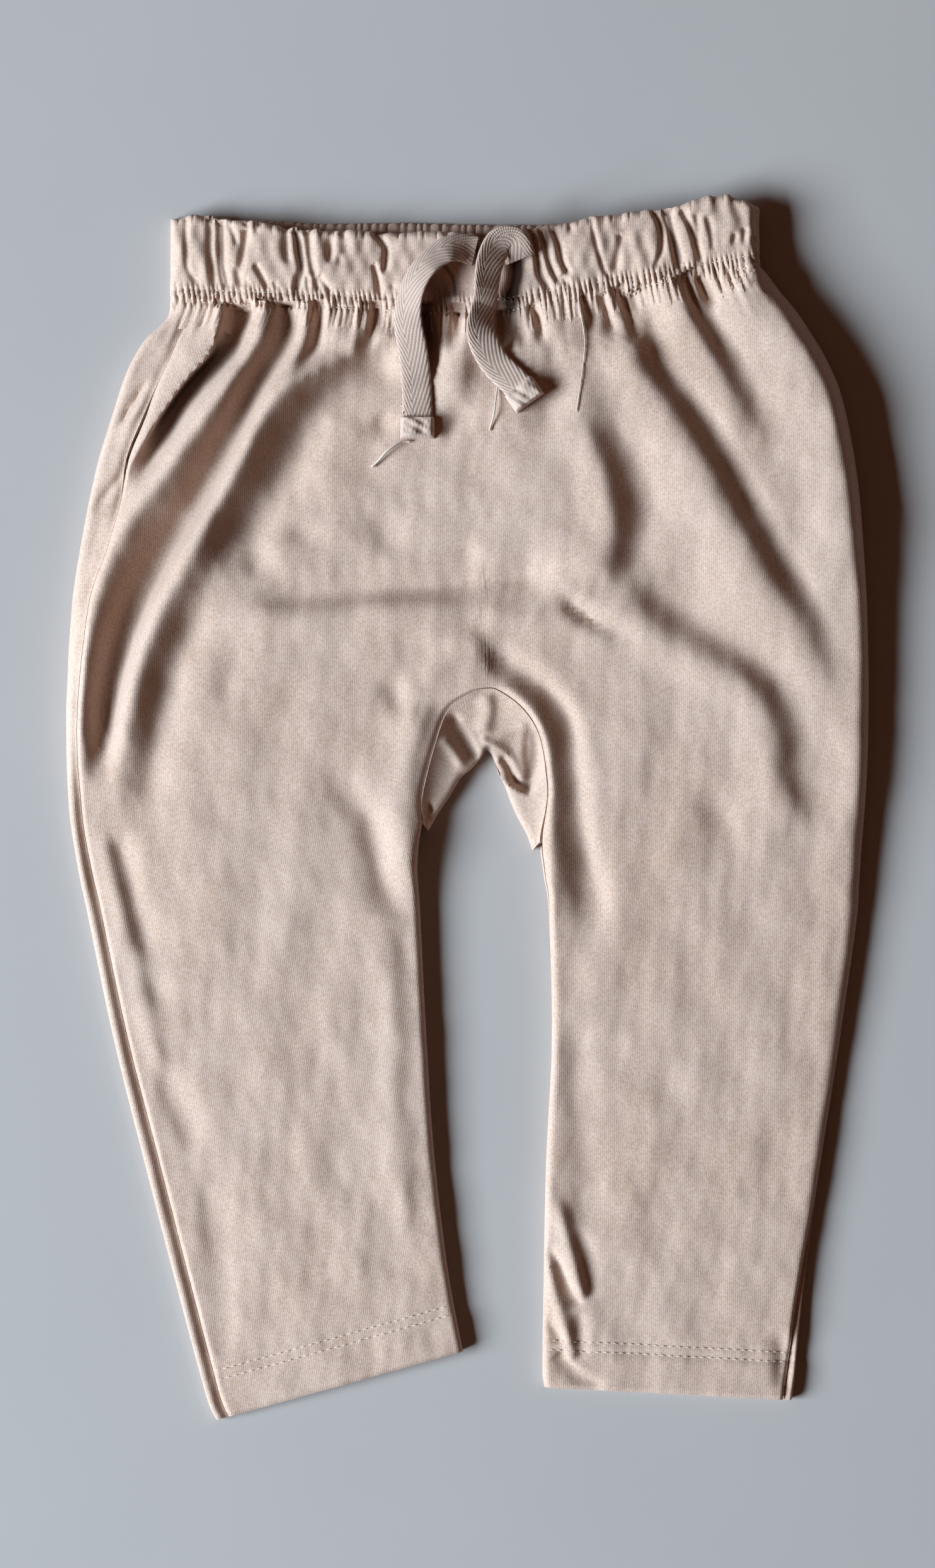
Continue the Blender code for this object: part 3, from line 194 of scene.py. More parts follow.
# The lap sets in at one share of its line, and rises and dies away over two others
LAP_START = 0.1
LAP_FADES = (0.15, 0.6)
LAP_LINE = ((-80, 168), (-85, 156), (-95, 145), (-103, 134), (-109, 123), (-114, 112), (-116, 100))
FOLDS = named_rows(FOLD, (
    ("strip_crest", 3.4, 4.0, 1.8, 0.3, 3, 30, LAP_LINE),
    ("strip_crease", -8.0, 2.2, 5.4, 0.0, 2, 36, ((-77, 168), (-80, 155), (-90, 144), (-98, 134),
     (-103, 124), (-107, 113), (-112, 101))),
    ("hip_crest_outer", 5.6, 4.4, 5.6, 0.0, 2, 24, ((-64, 169), (-67, 158), (-78, 141), (-88, 128),
     (-98, 115), (-106, 104), (-113, 94), (-118.5, 82), (-123, 69), (-126, 56), (-127, 40), (-127.5, 20),
     (-127, 2))),
    ("hip_trough_outer", -8.2, 5.6, 4.2, 0.1, 2, 36, ((-61, 169), (-62, 156), (-70, 142), (-78, 124),
     (-88, 104), (-101, 84), (-111, 64), (-118, 42), (-122, 20), (-124, 4))),
    ("hip_crest_middle", 1.4, 3.4, 2.4, 0.5, 2, 10, ((-53, 169), (-53, 157), (-58, 147), (-64, 140))),
    ("hip_trough_middle", -3.8, 2.0, 2.6, 0.3, 1, 20, ((-50.5, 169), (-50, 160), (-52, 152), (-57, 146),
     (-65, 141))),
    ("hip_crest_long", 6.2, 5.0, 6.4, 0.2, 26, 44, ((-38, 150), (-48, 145), (-58, 140.5), (-66, 133),
     (-73.5, 121), (-80, 109), (-88, 94), (-97, 75), (-107, 56), (-112, 36), (-116, 14), (-119, -6))),
    ("hook_crest", 3.0, 6.0, 3.2, 0.0, 8, 16, ((-22, 160), (-33, 153.5), (-42, 148.5), (-52, 143.5),
     (-62, 138))),
    ("hook_trough", -5.4, 7.0, 7.0, 0.3, 12, 22, ((-20, 151), (-32, 145), (-42, 140), (-50, 135.5),
     (-54.5, 128), (-58, 119), (-64, 108), (-72, 97), (-79, 88), (-84, 77))),
    ("thigh_trough_lower", -3.4, 7.0, 7.0, 0.0, 14, 20, ((-89, 73), (-93, 58), (-100, 43), (-104, 25),
     (-106, 8), (-111, -8))),
    ("waist_crest_left", 1.0, 2.6, 2.2, 0.3, 2, 5, ((-34.5, 169), (-35, 159), (-40, 149))),
    ("waist_trough_left", -3.4, 2.2, 2.8, 0.4, 1, 14, ((-30.5, 169), (-31, 160), (-35, 152), (-41, 146))),
    ("waist_line_left", -1.6, 1.5, 1.8, 0.3, 1, 6, ((-72.5, 169), (-73.5, 163), (-76, 158))),
    ("tape_side_dent", -1.6, 5.0, 4.0, 0.0, 4, 4, ((-31, 131), (-28, 128), (-24, 124))),
    ("tape_hollow_first", -5.5, 3.4, 3.0, 0.2, 1, 10, ((-15.5, 168), (-14, 158), (-12, 141))),
    ("tape_hollow_second", -4.0, 3.0, 2.6, 0.0, 1, 8, ((-3, 168), (-4, 158), (-8, 151))),
    ("tape_puff", 2.6, 7.0, 5.0, 0.0, 3, 14, ((0, 165), (-2, 152), (-4, 140), (-3, 129))),
    ("tape_end_hollow", -1.6, 5.0, 6.0, 0.0, 5, 8, ((-9, 129), (-4, 127), (2, 124))),
    ("hole_trough", -5.0, 3.0, 3.4, 0.2, 1, 10, ((12, 169), (11, 158), (15, 151))),
    ("waist_line_first", -2.6, 1.5, 1.8, 0.2, 1, 6, ((15, 168), (17, 158), (20, 153))),
    ("waist_line_second", -2.2, 1.4, 1.6, 0.2, 1, 5, ((21, 168), (24, 160), (24, 153))),
    ("tape_end_dent", -2.0, 6.0, 6.0, 0.0, 12, 14, ((23, 153), (29, 146), (28, 135), (18, 124))),
    ("waist_line_third", -2.2, 1.5, 1.8, 0.2, 1, 7, ((38, 171), (41, 164), (42, 157))),
    ("waist_line_fourth", -2.4, 1.6, 2.0, 0.4, 1, 8, ((44, 171), (47, 163), (50, 154))),
    ("flank_trough_strand", -3.0, 1.6, 2.0, 0.3, 1, 7, ((49.5, 174), (53, 165), (57, 153))),
    ("flank_crest_long", 4.6, 13.0, 10.0, 0.2, 16, 50, ((48, 162), (55, 149), (63, 137), (71, 123),
     (80, 107), (89, 90), (100, 72), (110, 55), (119, 36))),
    ("flank_trough_long", -3.3, 4.4, 4.4, 0.2, 3, 60, ((54, 173), (60, 162), (62, 153), (66, 144),
     (78, 129), (87, 114), (95, 99), (104, 82), (115, 66), (121, 50), (126, 32))),
    ("flank_crest_waist", 2.6, 6.0, 4.6, 0.8, 2, 35, ((68, 178), (74, 166), (80, 154), (88, 138), (96, 123),
     (100, 112))),
    ("flank_trough_waist", -3.8, 3.0, 3.6, 0.8, 1, 66, ((71, 178), (77, 166), (85, 153), (93, 138),
     (102, 123), (107, 110))),
    ("flank_line", -2.4, 1.4, 1.8, 0.3, 1, 6, ((76, 177), (80, 170), (84, 165))),
    ("flank_crest_outer", 3.0, 12.0, 5.0, 0.0, 4, 40, ((90, 178), (103, 163), (112, 150), (118, 137),
     (122, 122), (126, 100), (128, 80), (129, 58))),
    ("tummy_crest_right", 1.6, 7.0, 5.0, 0.2, 20, 8, ((35, 139), (39, 126), (44, 110), (47, 98), (46, 85),
     (42, 73))),
    ("tummy_trough_right", -1.8, 5.0, 7.0, 0.2, 20, 14, ((43, 133), (49, 120), (54, 107), (56, 93),
     (53, 80), (48, 73))),
    ("belly_crest", 2.6, 9.0, 4.2, 0.0, 20, 20, ((-84, 60), (-70, 64), (-50, 66), (-30, 67), (-10, 67),
     (8, 65))),
    ("belly_trough", -3.2, 5.0, 6.0, 0.0, 20, 14, ((-74, 66), (-50, 70), (-30, 72), (-10, 74), (14, 77),
     (32, 76))),
    ("belly_crest_right", 1.4, 6.0, 4.0, 0.0, 12, 10, ((-2, 65), (12, 64), (28, 63), (42, 59), (54, 56))),
    ("belly_crease", -2.9, 3.0, 2.0, 0.0, 10, 14, ((28, 72.5), (34, 68.5), (41, 63), (48, 60), (57, 57))),
    ("thigh_crest_right", 2.6, 8.0, 7.0, 0.2, 10, 20, ((45, 74), (52, 68), (62, 58), (75, 49), (89, 42),
     (98, 30), (99, 16), (104, 5), (112, -8))),
    ("thigh_trough_right", -2.2, 5.0, 9.0, 0.0, 12, 30, ((54, 73), (66, 68), (81, 59), (96, 48), (106, 36),
     (110, 24), (109, 11), (115, 0), (117, -13))),
    ("thigh_dent_right", -1.3, 5.0, 5.0, 0.0, 12, 12, ((78, 8), (84, -2), (90, -12), (96, -20))),
    ("crotch_crest_right", 2.2, 2.0, 5.0, 0.4, 16, 24, ((2, 47), (11, 42), (20, 35), (26, 24), (28.5, 8),
     (28.5, -5), (28.5, -20), (30, -40))),
    ("crotch_trough_right", -3.8, 6.0, 3.2, 0.6, 12, 24, ((2, 54), (14, 48), (26, 39), (33, 28), (35, 10),
     (37, -8), (41, -24), (42, -34), (37, -48))),
    ("arch_crest", 1.4, 4.0, 4.0, 0.0, 8, 8, ((-15, 40), (-9, 49), (1, 53), (10, 50))),
    ("crotch_crest_left", 1.6, 7.0, 4.0, 0.0, 8, 12, ((-15, 36), (-20, 12), (-20, -6), (-20, -26))),
    ("crotch_trough_left", -2.6, 5.0, 5.4, 0.0, 20, 16, ((-48, 16), (-40, 5), (-33, -3), (-30, -14),
     (-27, -26), (-20, -39))),
    ("arch_dent", -1.4, 3.6, 3.6, 0.0, 8, 8, ((-27, 46), (-24, 38), (-20, 28))),
    ("leg_crest_left", 1.2, 4.0, 3.0, 0.0, 8, 30, ((-121, -6), (-118, -22), (-113, -38), (-108, -62),
     (-99, -100))),
    ("leg_trough_upper", -2.2, 3.4, 5.0, 0.0, 4, 8, ((-117, -8), (-114, -22), (-110, -38), (-107, -50))),
    ("leg_trough_middle", -1.2, 4.0, 4.0, 0.0, 6, 6, ((-104, -55), (-101, -68))),
    ("leg_trough_lower", -2.0, 3.4, 4.6, 0.0, 8, 6, ((-103, -84), (-99, -95), (-94, -106), (-90, -114))),
    ("leg_trough_hem", -1.4, 3.4, 4.6, 0.0, 8, 6, ((-88, -122), (-85, -138), (-83, -156), (-81, -184))),
    ("leg_crest_inner", 1.2, 5.0, 4.0, 0.0, 20, 20, ((-28, -29), (-25, -66), (-24, -108), (-19, -150))),
    ("tummy_dome", 3.4, 42.0, 10.0, 0.0, 36, 36, ((28, 166), (38, 128), (45, 104), (46, 82), (38, 50))),
    ("cuff_crest_upper", 1.9, 3.0, 2.4, 0.0, 8, 3, ((30, -128), (31, -134), (33, -142), (35, -149),
     (37, -157), (39, -164))),
    ("cuff_trough_upper", -1.3, 3.0, 3.0, 0.0, 8, 4, ((36, -138), (39, -148), (41, -157), (41, -165))),
    ("cuff_trough_middle", -1.9, 3.0, 1.1, 0.0, 2, 4, ((27, -145), (30, -151), (33.5, -158.5),
     (38.5, -166.5))),
    ("cuff_crest_middle", 1.5, 2.0, 2.6, 0.0, 6, 3, ((27, -147), (28, -155), (29, -162), (31, -168),
     (33.5, -176), (36.5, -184))),
    ("cuff_trough_low", -1.5, 2.5, 3.0, 0.0, 6, 4, ((37, -166), (37, -172), (36.8, -178), (37, -185))),
    ("leg_trough_right", -1.8, 5.0, 7.0, 0.0, 20, 20, ((35, -62), (37, -92), (39, -125), (35, -142))),
))
SMALL_FOLDS = named_rows(FOLD, (
    ("tummy_dent_left", -1.1, 5.0, 5.0, 0.0, 8, 8, ((-32, 101), (-27, 91), (-24, 81))),
    ("tummy_dent_middle", -0.9, 3.5, 3.5, 0.0, 8, 8, ((-1, 93), (0, 85), (0, 76))),
    ("thigh_dent", -1.4, 4.0, 4.0, 0.0, 7, 7, ((-67, 90), (-69, 83), (-71, 75))),
    ("thigh_dent_upper", -1.2, 5.0, 5.0, 0.0, 8, 8, ((-56, 98), (-54, 91), (-54, 84))),
    ("thigh_dent_lower", -0.8, 4.0, 4.0, 0.0, 8, 8, ((-82, 48), (-80, 40), (-78, 33))),
    ("belly_line", 0.7, 1.8, 1.8, 0.0, 9, 9, ((-19, 55), (-5, 57), (12, 53))),
    ("leg_dent_left_upper", -0.8, 4.0, 5.0, 0.0, 6, 6, ((-49, -75), (-47, -88))),
    ("leg_dent_left_lower", -0.8, 4.0, 5.0, 0.0, 10, 10, ((-48, -106), (-44, -128))),
    ("leg_dent_right_inner", -0.8, 4.0, 4.0, 0.0, 10, 10, ((33, -45), (35, -56), (35, -68))),
    ("leg_dent_right_middle", -0.8, 5.0, 5.0, 0.0, 5, 5, ((45, -74), (51, -86))),
    ("leg_dent_right_outer", -0.7, 6.0, 6.0, 0.0, 9, 9, ((60, -86), (72, -101))),
    ("cuff_line", -1.4, 2.0, 1.0, 0.0, 2, 3, ((26.5, -169.5), (29, -173), (32.5, -179))),
    ("hem_line", -1.6, 3.2, 1.2, 0.0, 2, 6, ((30, -180.5), (34, -185.5), (39, -189.5), (47, -192.5))),
    ("back_strip_upper", 1.2, 1.6, 1.8, 0.0, 6, 6, ((-105, 139), (-110, 132), (-116, 124))),
    ("back_strip_upper_line", -1.4, 1.2, 1.3, 0.0, 6, 6, ((-105, 144), (-110, 137), (-117, 125))),
    ("back_strip_lower", -1.4, 1.4, 1.6, 0.0, 5, 5, ((-114, 113), (-119, 106), (-125, 98))),
    ("hem_corner_dent", -1.8, 2.5, 3.0, 0.0, 8, 8, ((103, -172), (105, -184), (104, -196))),
))

# Lines of painted shade, in the same columns with the share of dark colour in place of the height: the
# deepest crease, the slot and the hole where the tapes leave the casing, and the shadows that the tapes
# cast. The same for the gusset.
SHADE_LINES = named_rows(FOLD, (
    ("strip_crease_inside", 0.85, 1.2, 2.6, 0.0, 10, 30, ((-80, 160), (-86, 150.5), (-93, 143),
     (-99, 135.5), (-104, 127), (-108, 117), (-111, 107))),
    ("tape_slot", 1.2, 1.0, 1.0, 0.0, 1, 1, ((1.6, 191), (3, 187), (3.6, 180))),
    ("tape_hole", 1.1, 2.6, 2.8, 0.0, 3, 5, ((14.5, 184), (16.5, 178), (15.5, 172), (12.5, 165))),
    ("tape_shade_upper", 0.6, 4.6, 4.6, 0.0, 4, 5, ((-14, 178), (-9, 171), (-3, 166))),
    ("tape_shade_lower", 0.7, 2.8, 2.6, 0.0, 2, 9, ((-14, 169), (-12.5, 160), (-11, 148))),
    ("tape_shade_right", 0.45, 4.0, 3.4, 0.0, 4, 8, ((15, 173), (15, 165), (19, 157))),
))
GUSSET_SHADE_LINES = named_rows(FOLD, (
    ("hollow", 0.5, 1.6, 1.9, 0.0, 4, 4, ((21.2, 28), (21.6, 20), (20.4, 12), (18.6, 4.5))),
    ("notch", 0.9, 1.2, 1.2, 0.0, 1, 1, ((6.0, 21.2), (6.9, 18.8), (7.4, 16.4))),
    ("left_band", 0.35, 2.0, 2.4, 0.0, 3, 3, ((-3, 30), (-0.5, 24), (2.4, 15))),
    ("left_shade", 0.16, 6.0, 6.0, 0.0, 4, 4, ((-9, 26), (-10, 14), (-12, 2))),
    ("right_shade", 0.16, 6.0, 6.0, 0.0, 4, 4, ((10, 32), (14, 22), (19, 8))),
))
# Pleats and folds deeper than these get painted shade too, by this share for each further millimetre. In a
# pleat the painted dark line has these widths.
CREASE_DEPTH = -1.2
CREASE_SHADE_GAIN = 0.55
CREASE_WEST = 0.6
CREASE_EAST = 0.8
FOLD_DEPTH = -2.0
FOLD_SHADE_GAIN = 0.045
# How often the line of a fold is read for each of its points
FOLD_READINGS = 12

# Waist casing: its two ends, its upper edges in front and behind, and the heights of its front
CASING_LEFT = -99.0
CASING_RIGHT = 97.3
CASING_ROLL = 4.5
CASING_TOP_ROLL = 2.9
CASING_SWELL = 1.4
CASING_WALL = 2.2
CASING_LINE = 3.7
CASING_LEAST = 0.3
CASING_END = 5.0
CASING_END_SHARE = 0.25
# Columns of the front casing, and its rows over the body, up to its upper edge and over that edge
CASING_COLUMNS = 700
CASING_ROWS = (17, 40, 8)
CASING_NICK = 0.25
CASING_NICK_PITCH = 3.4
# Columns and rows of the back casing, its height, and the ripples and the bevel of its edge
BACK_CASING_COLUMNS = 401
BACK_CASING_ROWS = (4, 14)
BACK_CASING_INSET = 0.6
BACK_CASING_HEIGHT = 3.0
BACK_CASING_PITCH = 2.9
BACK_CASING_WAVE = 0.35
BACK_CASING_RIPPLE = 0.4
BACK_CASING_BEVEL = 2.0
BACK_CASING_BEVEL_START = 0.86
BACK_CASING_BEVEL_TURN = 0.96
# Shirring: the heights of its two sewn lines over the seam, and the gathers between them
SHIRR_LINES = (-0.9, 3.2)
SHIRR_DEPTH = 0.62
SHIRR_SWELL = 0.25
SHIRR_SLANT = 0.16
SHIRR_FLATTENS = 0.5
SHIRR_SEWN_DEPTH = 0.42
SHIRR_SEWN_WIDTH = 0.45
# How far the gathers under the shirring run out over the body, and how thin the cloth ends there
GATHER_RUN = 10.0
GATHER_REACH = 1.7
GATHER_EDGE = 0.4
GATHER_RISE = 0.25
GATHER_SINK = 0.55
GATHER_THINNING = 4.0
FAN_HEIGHT = 0.95
FAN_REACH = 13.0
FAN_PITCH = 4.3
FAN_SPREAD = 0.004
PANEL_DIP = 1.1
FRONT_TOP = ((-99, 196.6), (-92, 197.5), (-72, 195.6), (-63, 193.6), (-38, 191.8), (0, 191.4),
             (23, 193.4), (39, 196.0), (65, 199.6), (87, 204.4), (97.3, 200.0))
BACK_TOP = ((-99, 196.6), (-72, 196.2), (-50, 195.0), (-20, 195.3), (2, 194.7), (23, 194.6), (39, 195.6),
            (65, 198.6), (87, 201.6), (97.3, 200.0))

# Pleats of the front casing, in the same columns as the folds of the body but for their ends, which
# are alike
PLEAT = ("name", "height", "west", "east", "line")
PLEATS = named_rows(PLEAT, (
    ("end_crease", -0.8, 1.0, 1.2, ((-93.5, 197), (-93.5, 186), (-92.8, 179), (-88.6, 173))),
    ("end_pleat", -1.5, 1.3, 1.6, ((-85.9, 197), (-85.5, 186), (-84.8, 177), (-83.8, 170))),
    ("end_pleat_deep", -2.3, 1.4, 1.9, ((-82.3, 196), (-82.1, 186), (-81.7, 179), (-79.8, 171))),
    ("left_top_crease", -0.8, 0.9, 1.2, ((-80, 195), (-77.7, 191), (-76.4, 186))),
    ("left_bent_pleat", -1.7, 1.3, 1.5, ((-73.5, 193), (-74.5, 186), (-75.6, 180), (-76.4, 178),
     (-75, 172))),
    ("left_top_nick", -1.0, 0.9, 1.2, ((-74, 195.5), (-72.2, 192))),
    ("left_low_nick", -0.8, 0.9, 1.0, ((-74, 177), (-72.2, 172))),
    ("left_low_pleat", -1.3, 1.0, 1.2, ((-70.8, 181), (-68, 176), (-65.9, 171))),
    ("left_top_dip", -1.1, 1.1, 1.1, ((-69, 195), (-70.8, 190))),
    ("left_low_crease", -0.8, 0.8, 1.0, ((-64.5, 175), (-61.5, 170))),
    ("left_soft_fold", -0.9, 1.5, 1.2, ((-60.3, 194), (-60, 185), (-59, 180))),
    ("left_deep_pleat", -2.3, 1.3, 1.9, ((-57.1, 193), (-55.9, 186), (-55, 179), (-56.3, 175),
     (-57.1, 169))),
    ("left_low_gap", -1.3, 1.0, 1.2, ((-53, 177), (-52.8, 170))),
    ("left_long_pleat", -1.6, 1.2, 1.4, ((-52.7, 193), (-52.3, 185), (-50.8, 177), (-49, 170))),
    ("left_low_slant", -1.2, 1.0, 1.1, ((-49.5, 177), (-46.5, 173), (-44, 169))),
    ("left_top_fold", -1.0, 1.2, 1.4, ((-45, 193), (-45.6, 185), (-45.6, 180))),
    ("left_top_pocket", -0.8, 1.2, 1.2, ((-42, 192), (-40, 188))),
    ("left_middle_pocket", -0.6, 1.2, 1.2, ((-42.5, 184), (-42, 179))),
    ("bent_pleat", -1.5, 1.1, 1.4, ((-31.3, 192), (-28.4, 188.5), (-26.9, 185), (-27.7, 177))),
    ("bent_pleat_low", -1.3, 1.0, 1.2, ((-31, 181), (-29.8, 175), (-28.6, 168))),
    ("low_dip", -0.7, 0.9, 0.9, ((-24.5, 174), (-25.2, 171))),
    ("tape_hollow", -2.4, 5.0, 5.0, ((-8, 181), (-5, 176), (-4, 169))),
    ("slot_hollow", -2.7, 1.8, 2.2, ((4, 193), (5, 186), (5.5, 178))),
    ("hole_hollow", -3.0, 2.4, 3.0, ((16.5, 187), (17, 180), (15.5, 172), (13, 165))),
    ("right_pleat_first", -2.1, 1.2, 1.6, ((20.2, 193.5), (22.3, 188), (23.7, 179), (25.2, 175),
     (28.5, 169))),
    ("right_pleat_second", -2.0, 1.0, 1.2, ((24.2, 193), (26, 186), (27.9, 179), (31.1, 173))),
    ("right_pleat_third", -1.8, 1.0, 1.2, ((28.1, 193), (30, 188), (31.7, 181), (34.2, 176))),
    ("right_low_slant", -1.0, 0.9, 1.1, ((30.7, 177), (36, 171))),
    ("right_top_nick", -0.8, 1.0, 1.0, ((34.5, 194), (33.8, 190))),
    ("right_line", -0.9, 0.9, 1.0, ((41, 196), (42.6, 188), (45.2, 179), (47.9, 175))),
    ("right_soft_fold", -1.1, 1.5, 1.3, ((51, 191), (50, 184), (49.1, 177))),
    ("right_puff_edge", -1.4, 1.0, 1.2, ((62, 198.5), (64.3, 192), (64.3, 186), (62, 178))),
    ("right_deep_pleat", -2.4, 1.5, 2.0, ((65.7, 199.5), (67.6, 192), (69.3, 184), (70.6, 177))),
    ("right_long_pleat", -1.7, 1.1, 1.3, ((71, 199), (73.9, 193), (76, 186.5), (77.9, 180))),
    ("right_inner_fold", -0.8, 1.1, 1.3, ((75.8, 198), (76.4, 190), (75.2, 185))),
    ("right_outer_fold", -0.9, 1.1, 1.3, ((79.4, 197), (80.9, 190), (81.5, 184))),
    ("right_end_nick", -0.8, 0.9, 1.0, ((88.8, 191), (87.8, 186))),
    ("right_end_pleat", -1.0, 1.0, 1.2, ((92, 193), (91.6, 186))),
    ("right_end_line", -0.9, 1.0, 1.0, ((95.3, 190), (95.1, 186))),
), flare=0.0, start=0.8, end=3.0)

# Gusset: the fold that hangs free between the legs. Its seam is the arch between the two rows that
# its ends reach, one in each half.
GUSSET_LEFT_ROW = 16
GUSSET_RIGHT_ROW = 17
GUSSET_FOLD = ((-13.0, -7.4), (-9.6, -1.4), (-6.0, 4.0), (-2.4, 10.0), (0.8, 12.8), (4.0, 16.2),
               (6.2, 19.2), (8.2, 17.6), (10.2, 12.4), (12.6, 7.0), (14.6, 1.6), (17.0, -3.6),
               (19.8, -8.8), (21.6, -14.0))
GUSSET_COLUMNS = 110
GUSSET_ROWS = 46
GUSSET_GAP = 0.6
GUSSET_ROLL = 3.0
GUSSET_EDGE = 3.4
GUSSET_SINK = 0.5
GUSSET_FALL = 2.2
GUSSET_TUCK = 0.3
GUSSET_NARROW = 0.45
GUSSET_SHELF = 2.4
GUSSET_SEAM = 84
# Its folds fade out over these distances from its fold and from its seam
GUSSET_FADES = (1.5, 2.0)
GUSSET_FOLDS = named_rows(FOLD, (
    ("left_trough", -2.4, 3.0, 1.6, 0.2, 3, 3, ((-6, 32), (-3.6, 28), (-1, 23.6), (2, 18.4), (3.8, 15.4))),
    ("left_crest", 1.0, 2.0, 2.0, 0.0, 3, 3, ((-9, 24.5), (-6, 21), (-3, 16.6), (-0.8, 12.6))),
    ("left_end_dent", -1.0, 1.4, 1.4, 0.0, 2, 2, ((-13.8, 2.4), (-12, -0.6), (-11, -2))),
    ("middle_ridge", 1.8, 3.0, 2.4, 0.0, 2, 2, ((5.6, 38.4), (7, 34), (6.4, 29), (5, 24.6))),
    ("flap_fall", -4.4, 11.0, 1.6, 0.0, 5, 3, ((21.5, 29), (23.4, 21), (23.2, 14), (21, 9), (18.6, 4.6))),
    ("flap_edge", 1.0, 2.4, 1.4, 0.0, 3, 2, ((19, 30), (18, 22), (18, 17), (18.8, 12), (18.8, 8))),
    ("flap_lip", 1.1, 1.1, 1.4, 0.0, 2, 2, ((4.6, 25), (6, 22.4), (9, 21), (12, 19), (14.6, 16.4),
     (16.6, 12), (18.4, 8.6))),
    ("lip_trough", -1.6, 1.4, 1.3, 0.0, 2, 2, ((10.4, 17.4), (13, 15.2), (15, 11.6), (17.2, 7.4))),
))

# Tape ends of the drawstring, from where each leaves the casing to its free end, with how far each
# is lifted off the cloth and turned about its own length, at distances along it
TAPE_WIDTH = 10.0
TAPE_THICKNESS = 1.0
TAPE_CLEARANCE = 0.35
# Columns across it, how much they crowd at its edges, its rounded, slightly drooping edges, and
# over how many rows on each side its height is evened out
TAPE_COLUMNS = 41
TAPE_CROWDING = 0.35
TAPE_DROOP = 0.35
TAPE_ROUNDING = 9
TAPE_EDGE = 0.25
TAPE_SMOOTH = 6
WEAVE_SPINE = -1.6
WEAVE_SLANT = 0.36
WEAVE_PITCH = 1.3
WEAVE_DEPTH = 0.36
WEAVE_NARROWER = 0.75
WEAVE_EDGE = 0.7
TAPE_STEP = 0.4
TAPE_READINGS = 200
TAPE_LEFT = ((2.6, 184.8), (-2.0, 185.8), (-7.0, 184.8), (-12.4, 181.0), (-17.0, 174.8),
             (-19.5, 167.0), (-19.6, 160.0), (-18.2, 152.0), (-17.0, 142.0), (-16.6, 132.0),
             (-16.6, 122.6))
TAPE_LEFT_LIFT = ((0, 0.0), (4, 1.2), (10, 2.4), (18, 2.8), (28, 2.0), (40, 0.8), (52, 0.4), (80, 0.2))
TAPE_LEFT_TURN = ((0, 0), (8, 24), (18, 34), (30, 32), (42, 16), (56, 4), (80, -3))
TAPE_RIGHT = ((17.6, 182.0), (15.2, 187.6), (10.4, 187.0), (7.2, 179.6), (6.0, 169.6), (4.2, 158.6),
              (8.6, 148.4), (16.0, 140.6), (20.8, 134.0))
TAPE_RIGHT_LIFT = ((0, 0.0), (5, 1.6), (10, 2.4), (20, 2.4), (32, 1.0), (42, 0.8), (76, 0.4))
TAPE_RIGHT_TURN = ((0, 0), (8, -18), (18, -24), (28, -38), (36, -34), (46, -6), (76, 8))
# The end of a tape is folded under and sewn. By these shares it is wider, thinner at its very end,
# flatter in its weave and with less painted shade in its grooves.
TAPE_END = 7.6
TAPE_END_THICKNESS = 2.8
TAPE_END_WIDER = 0.13
TAPE_END_EASE = 0.9
TAPE_END_SHARE = 0.3
TAPE_END_FLATTER = 0.6
TAPE_END_PALER = 0.7
TAPE_LUMPS = ((0.3, 4.0, 21), (0.07, 1.8, 22))
# Cords with their node, route, lifts, turns and length in metres
TAPES = (
    ("tape_left", "drawstring_left", TAPE_LEFT, TAPE_LEFT_LIFT, TAPE_LEFT_TURN, 0.079),
    ("tape_right", "drawstring_right", TAPE_RIGHT, TAPE_RIGHT_LIFT, TAPE_RIGHT_TURN, 0.073),
)

# Sewing. A stitch is a short bar with sunk, narrow ends: the place, size and lift of each of its
# rings, and the length, gap and width of the stitches of each seam
THREAD_SIDES = 6
STITCH_RINGS = ((0.0, 0.25, -0.75), (0.12, 0.8, -0.1), (0.5, 1.0, 0.25), (0.88, 0.8, -0.1),
                (1.0, 0.25, -0.75))
HEM_STITCH = (2.1, 0.6, 0.42)
CASING_STITCH = (1.7, 0.5, 0.4)
# The rows and columns of each half of the front that the hem's stitches are read from, and how far
# from its ends, and at how many points, the casing's are
HEM_LINE_ROWS = 40
HEM_LINE_COLUMNS = slice(2, -6)
STITCH_LINE_INSET = 3
STITCH_LINE_POINTS = 700
# Loose ends of thread: thickness, lift in the middle and the line of each
THREAD_RINGS = 40
THREAD_TIP = 0.4
LOOSE_THREADS = (
    (0.9, 1.2, ((-18.6, 121.6), (-22, 121.4), (-26.4, 118.6), (-29.4, 115.4), (-31.9, 113.1))),
    (0.35, 1.2, ((-19.5, 128.5), (-21.5, 130), (-21, 132.5), (-22.4, 134))),
    (0.6, 1.2, ((10.1, 141.4), (9.4, 136), (8.6, 130), (7.2, 125))),
    (0.4, 0.1, ((37.2, 166), (38.6, 158), (38.8, 152), (37.6, 142), (36, 131))),
)

# Colours of the cloth: its light tone, its dark tone for uneven dye and for painted shade in its rib
# grooves, and the painted shade of its deepest creases; of the tape, light and dark, the dark one also
# painted shade in its weave's grooves; of thread and floor
CLOTH_COLOURS = ((0.665, 0.477, 0.382), (0.50, 0.305, 0.204), (0.05, 0.022, 0.013))
TAPE_COLOURS = ((0.74, 0.53, 0.43), (0.22, 0.13, 0.085))
THREAD_COLOURS = ((0.76, 0.62, 0.53), (0.56, 0.42, 0.33))
FLOOR_COLOURS = ((0.455, 0.408, 0.378), (0.485, 0.433, 0.402))
# Pitches of the rib, the loops and the threads of the tape, in millimetres
RIB = 0.65
LOOP = 0.85
PICK = 0.42
END = 0.36

